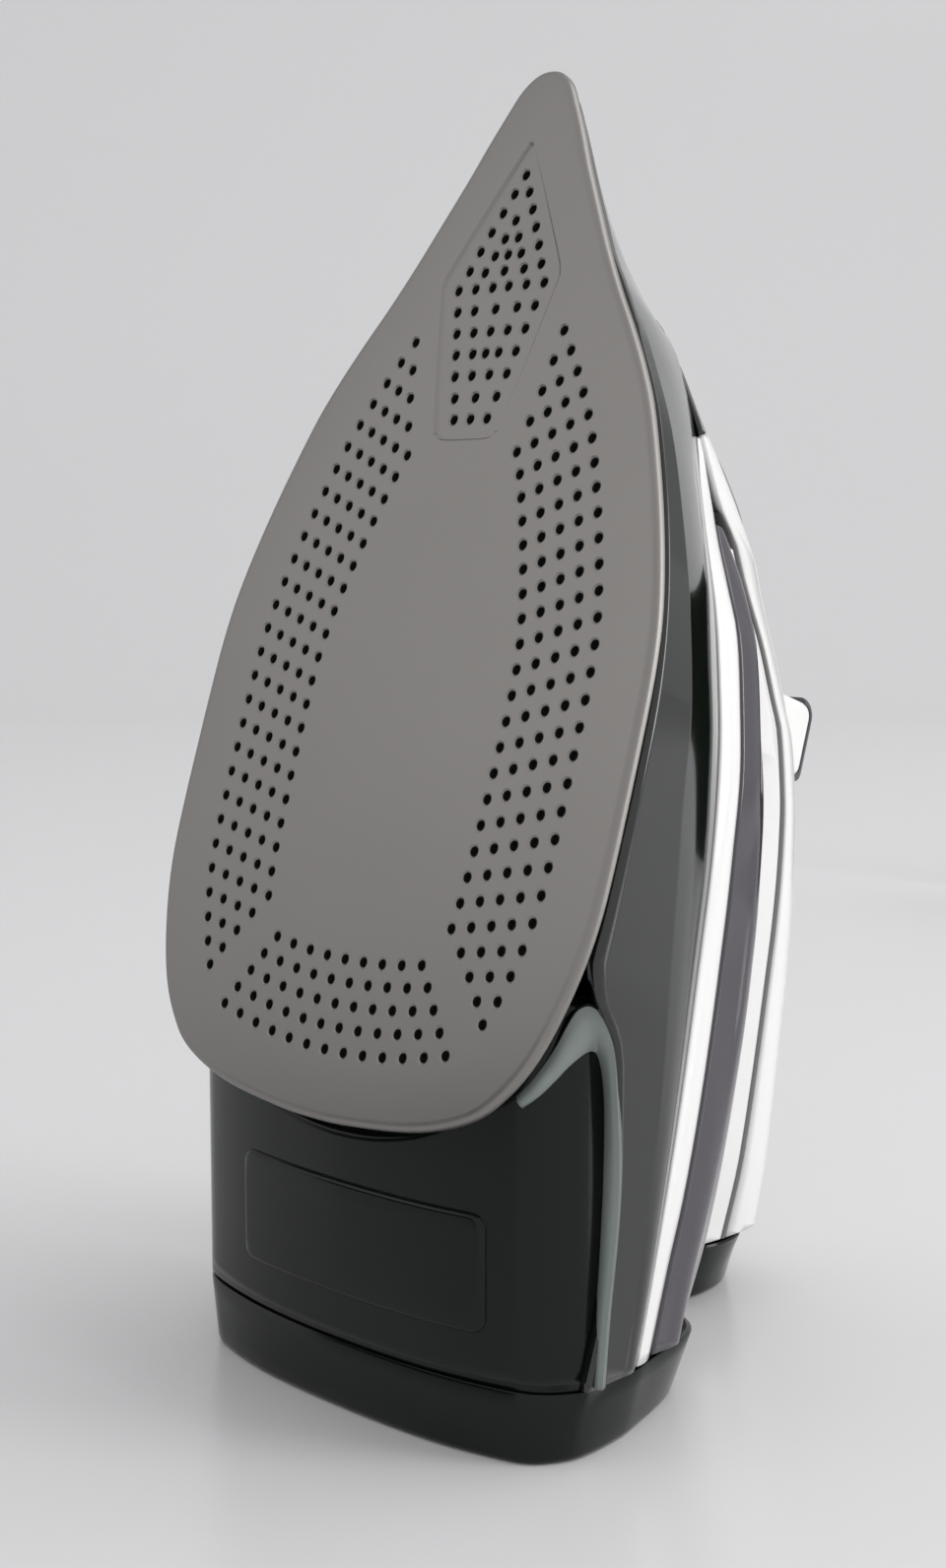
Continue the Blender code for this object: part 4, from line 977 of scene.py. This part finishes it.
def pad_ring(half_x, half_z, level, centre_z, corner=5):
    """A level ring shaped as a rectangle with soft corners."""
    ring = []
    for k in range(48):
        a = 2 * math.pi * (k + 0.5) / 48
        c, s = math.cos(a), math.sin(a)
        ring.append((half_x * math.copysign(abs(c) ** (2 / corner), c), level,
                     centre_z + half_z * math.copysign(abs(s) ** (2 / corner), s)))
    return ring


bar = [pad_ring(2.4, 15.5, dial_low + 6.9, DIAL_Z), pad_ring(2.2, 15.3, dial_low + 8.4, DIAL_Z),
       pad_ring(1.8, 14.9, dial_low + 8.9, DIAL_Z), pad_ring(1.0, 14.0, dial_low + 9.0, DIAL_Z)]
piece(capped(bar), "dial_grip_bar", matte_grey, "temperature_control", sharp=40, slot="grey_matte")

# %% [markdown]
# ## The steam selector and the cord guard
# The selector is a small slider with three grip lines across its thumb face. The cord guard is a rubber
# collar with grooves, turned round its own axis, so that the cord can swing.

# %% Model the selector and the cord guard
SELECTOR_Z = 18.5
COLLAR_Z = -98.0
knob_top = ridge(SELECTOR_Z + 0.5) + 5.5
knob = [pad_ring(2.0, 2.5, 88.5, SELECTOR_Z), pad_ring(2.0, 2.5, knob_top - 3.6, SELECTOR_Z)]
for level in (3.1, 2.2, 1.3):
    knob += [pad_ring(2.0, 2.5, knob_top - level - 0.3, SELECTOR_Z),
             pad_ring(1.7, 2.2, knob_top - level, SELECTOR_Z),
             pad_ring(2.0, 2.5, knob_top - level + 0.3, SELECTOR_Z)]
knob += [pad_ring(1.9, 2.4, knob_top - 0.3, SELECTOR_Z), pad_ring(1.5, 2.0, knob_top, SELECTOR_Z)]
piece(capped(knob), "selector_knob", matte_grey, "selector", "steam_selector", sharp=40, slot="grey_matte")

guard_top = ridge(COLLAR_Z) + 5.0
section = [(3.6, -14.0), (8.5, -14.0), (8.5, -12.0), (7.8, -11.5), (7.8, -10.5), (8.5, -10.0), (8.5, -9.0),
           (7.8, -8.5), (7.8, -7.5), (8.5, -7.0), (8.5, -3.6), (8.2, -3.0), (5.8, -0.3), (5.4, 0.0),
           (3.9, 0.0), (3.6, -0.3)]
turned = []
for k in range(49):
    a = 2 * math.pi * k / 48
    turned.append([(r * math.cos(a), guard_top + y, COLLAR_Z + r * math.sin(a)) for r, y in section])
piece(skin(turned, ring=True), "cord_guard_collar", cord_rubber, "cord_guard", "cord_swivel", sharp=40,
      slot="rubber")

# %% [markdown]
# ## Openings in the handle
# The keys, the selector and the cord guard move in openings of the upper shell, and the filling mouth lies
# under the lid. A moulding tool makes such openings with cores, so each is cut with a core-shaped solid once
# the shell has its wall.

# %% Cut the openings


def carved(thing, *cores):
    """Cuts closed shapes, drawn in millimetres, out of a finished piece."""
    walled = bpy.data.meshes.new_from_object(thing.evaluated_get(bpy.context.evaluated_depsgraph_get()))
    thing.modifiers.clear()
    shell = bmesh.new()
    shell.from_mesh(walled)
    bmesh.ops.remove_doubles(shell, verts=shell.verts, dist=1e-6)
    bmesh.ops.recalc_face_normals(shell, faces=shell.faces)
    print(thing.name, "holds", round(shell.calc_volume() / MM**3), "cubic millimetres before its openings")
    shell.to_mesh(walled)
    shell.free()
    thing.data = walled
    cutters = []
    for core in cores:
        bmesh.ops.transform(core, matrix=STAND, verts=core.verts)
        bmesh.ops.recalc_face_normals(core, faces=core.faces)
        core_mesh = bpy.data.meshes.new("core")
        core.to_mesh(core_mesh)
        core.free()
        cutter = bpy.data.objects.new("core", core_mesh)
        scene.collection.objects.link(cutter)
        opening = thing.modifiers.new("opening", "BOOLEAN")
        opening.operation = "DIFFERENCE"
        opening.solver = "MANIFOLD"
        opening.object = cutter
        cutters.append(cutter)
    finished = thing.evaluated_get(bpy.context.evaluated_depsgraph_get())
    mesh = bpy.data.meshes.new_from_object(finished)
    thing.modifiers.clear()
    thing.data = mesh
    for cutter in cutters:
        bpy.data.objects.remove(cutter)
    print(thing.name, "has", len(mesh.polygons), "faces with its openings")


carved(upper_shell,
       capped([pad_ring(16.4, 11.3, level, 1.0, 12) for level in (101, 140)]),
       capped([pad_ring(2.7, 5.75, level, 21.25, 8) for level in (90, 128)]),
       capped([pad_ring(9.1, 9.1, level, COLLAR_Z, 2) for level in (125, 160)]),
       capped([pad_ring(7.2, 8.6, level, centre, 2) for level, centre in ((62, 33.3), (100, 58.0))]))
nozzle_core = [pad_ring(3.6, 5.0, level, centre, 2) for level, centre in ((50, 47.3), (75, 85.7))]
carved(nose_cap, capped(nozzle_core))

# %% [markdown]
# ## CAD pieces that keep their shape
# Everything under the mouldings is seen only through gaps and in the moved poses. Those pieces keep their CAD
# shape, and each gets the finish of its real material.

# %% Finish the carried-over pieces
KEPT = {
    cast_aluminium: ["sole_casting"],
    plated_steel: ["heating_element", "steam_chamber_cover", "drip_valve_rod", "fill_lid_pin",
                   "handle_screw_front", "handle_screw_rear", "sole_screw_front", "sole_screw_left",
                   "sole_screw_right", "spray_pump_piston", "steam_pump_piston", "spray_pump_spring",
                   "steam_pump_spring"],
    turned_brass: ["element_terminal_left", "element_terminal_right", "drip_valve_seat", "thermostat_shaft"],
    phenolic: ["thermostat_body", "thermal_fuse", "terminal_block"],
    matte_grey: ["fill_neck", "spray_pump_barrel", "steam_pump_barrel", "spray_nozzle"],
    amber_lens: ["indicator_lens"],
}
for finish, names in KEPT.items():
    for name in names:
        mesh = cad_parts[name].data
        mesh.materials.clear()
        mesh.materials.append(finish)
print(sum(len(names) for names in KEPT.values()), "CAD pieces finished")

# %% [markdown]
# ## Floor, light and camera
# A product is lit with large soft panels so that gloss shows as long, soft edges. The room is a pale even
# grey, one panel stands behind to the right and whitens the side of the handle, and a weaker one faces the
# sole. The floor sweeps up into the backdrop and is slightly glossy, so that the iron has a soft reflection.
# Two black cards out of view give the polished plastic the dark bands that show its form.

# %% Set the studio
scene.view_settings.view_transform = "Standard"
sweep_rows = []
for k in range(25):
    a = math.radians(90 * k / 24)
    sweep_rows.append([(x, 1.6 + 1.2 * math.sin(a), 1.2 - 1.2 * math.cos(a)) for x in (-6, 6)])
sweep = skin([[(x, -5.0, 0) for x in (-6, 6)]] + sweep_rows + [[(x, 2.8, 5.0) for x in (-6, 6)]])
bmesh.ops.rotate(sweep, verts=sweep.verts, matrix=Matrix.Rotation(math.radians(44.465), 3, "Z"))
sweep_mesh = bpy.data.meshes.new("studio_sweep")
sweep.to_mesh(sweep_mesh)
sweep.free()
sweep_mesh.shade_smooth()
backdrop = bpy.data.objects.new("studio_sweep", sweep_mesh)
backdrop.location = (0, 0, -0.0002)
scene.collection.objects.link(backdrop)
paper, _ = principled("pale_backdrop_board", {"Base Color": tone("e4e4e4"), "Roughness": 0.25})
sweep_mesh.materials.append(paper)


def black_card(name, place, target, width, height):
    """An upright black card that a glossy surface reflects as a dark band."""
    card_bm = bmesh.new()
    bmesh.ops.create_grid(card_bm, x_segments=1, y_segments=1, size=0.5)
    bmesh.ops.scale(card_bm, verts=card_bm.verts, vec=(width, height, 1))
    turn = (Vector(target) - Vector(place)).to_track_quat("Z", "Y").to_matrix()
    bmesh.ops.rotate(card_bm, verts=card_bm.verts, matrix=turn)
    bmesh.ops.translate(card_bm, verts=card_bm.verts, vec=place)
    card_mesh = bpy.data.meshes.new(name)
    card_bm.to_mesh(card_mesh)
    card_bm.free()
    card_mesh.materials.append(velvet)
    card = bpy.data.objects.new(name, card_mesh)
    scene.collection.objects.link(card)


velvet, _ = principled("black_velvet_card",
                       {"Base Color": tone("0a0a0a"), "Roughness": 1.0, "Specular IOR Level": 0.0})
black_card("heel_card", (-0.16, -0.475, 0.075), (0.0, -0.07, 0.075), 0.42, 0.15)
black_card("side_card", (-0.06, 0.64, 0.1), (0.06, -0.03, 0.1), 0.3, 0.2)

world = bpy.data.worlds.new("pale_room")
scene.world = world
world.use_nodes = True
world.node_tree.nodes["Background"].inputs["Color"].default_value = tone("e6e6e8")
world.node_tree.nodes["Background"].inputs["Strength"].default_value = 0.95


def panel_light(name, place, target, size, power):
    """A soft rectangular panel that looks at a point."""
    light = bpy.data.lights.new(name, "AREA")
    light.shape = "RECTANGLE"
    light.size, light.size_y = size
    light.energy = power
    lamp = bpy.data.objects.new(name, light)
    lamp.location = place
    lamp.rotation_euler = (Vector(target) - Vector(place)).to_track_quat("-Z", "Y").to_euler()
    scene.collection.objects.link(lamp)


panel_light("side_panel", (1.3, 0.75, 0.6), (0, 0, 0.15), (0.5, 1.0), 8)
panel_light("top_panel", (1.0, 1.0, 2.0), (0.2, 0.5, 0), (1.6, 1.6), 14)
panel_light("sole_panel", (-1.1, -1.5, 1.1), (0, 0, 0.17), (0.8, 0.8), 1)

AZIMUTH, ELEVATION = math.radians(44.465), math.radians(6.804)
lens = bpy.data.cameras.new("studio_camera")
lens.lens = 49.95
lens.sensor_width = 36.0
lens.sensor_fit = "AUTO"
camera = bpy.data.objects.new("studio_camera", lens)
camera.location = (0.3334, -0.3687, 0.1876)
level_reach = math.cos(ELEVATION)
look = Vector((-math.sin(AZIMUTH) * level_reach, math.cos(AZIMUTH) * level_reach, -math.sin(ELEVATION)))
camera.rotation_euler = look.to_track_quat("-Z", "Y").to_euler()
scene.collection.objects.link(camera)
scene.camera = camera
print("camera", round(camera.location.length, 3), "m from the middle of the base")
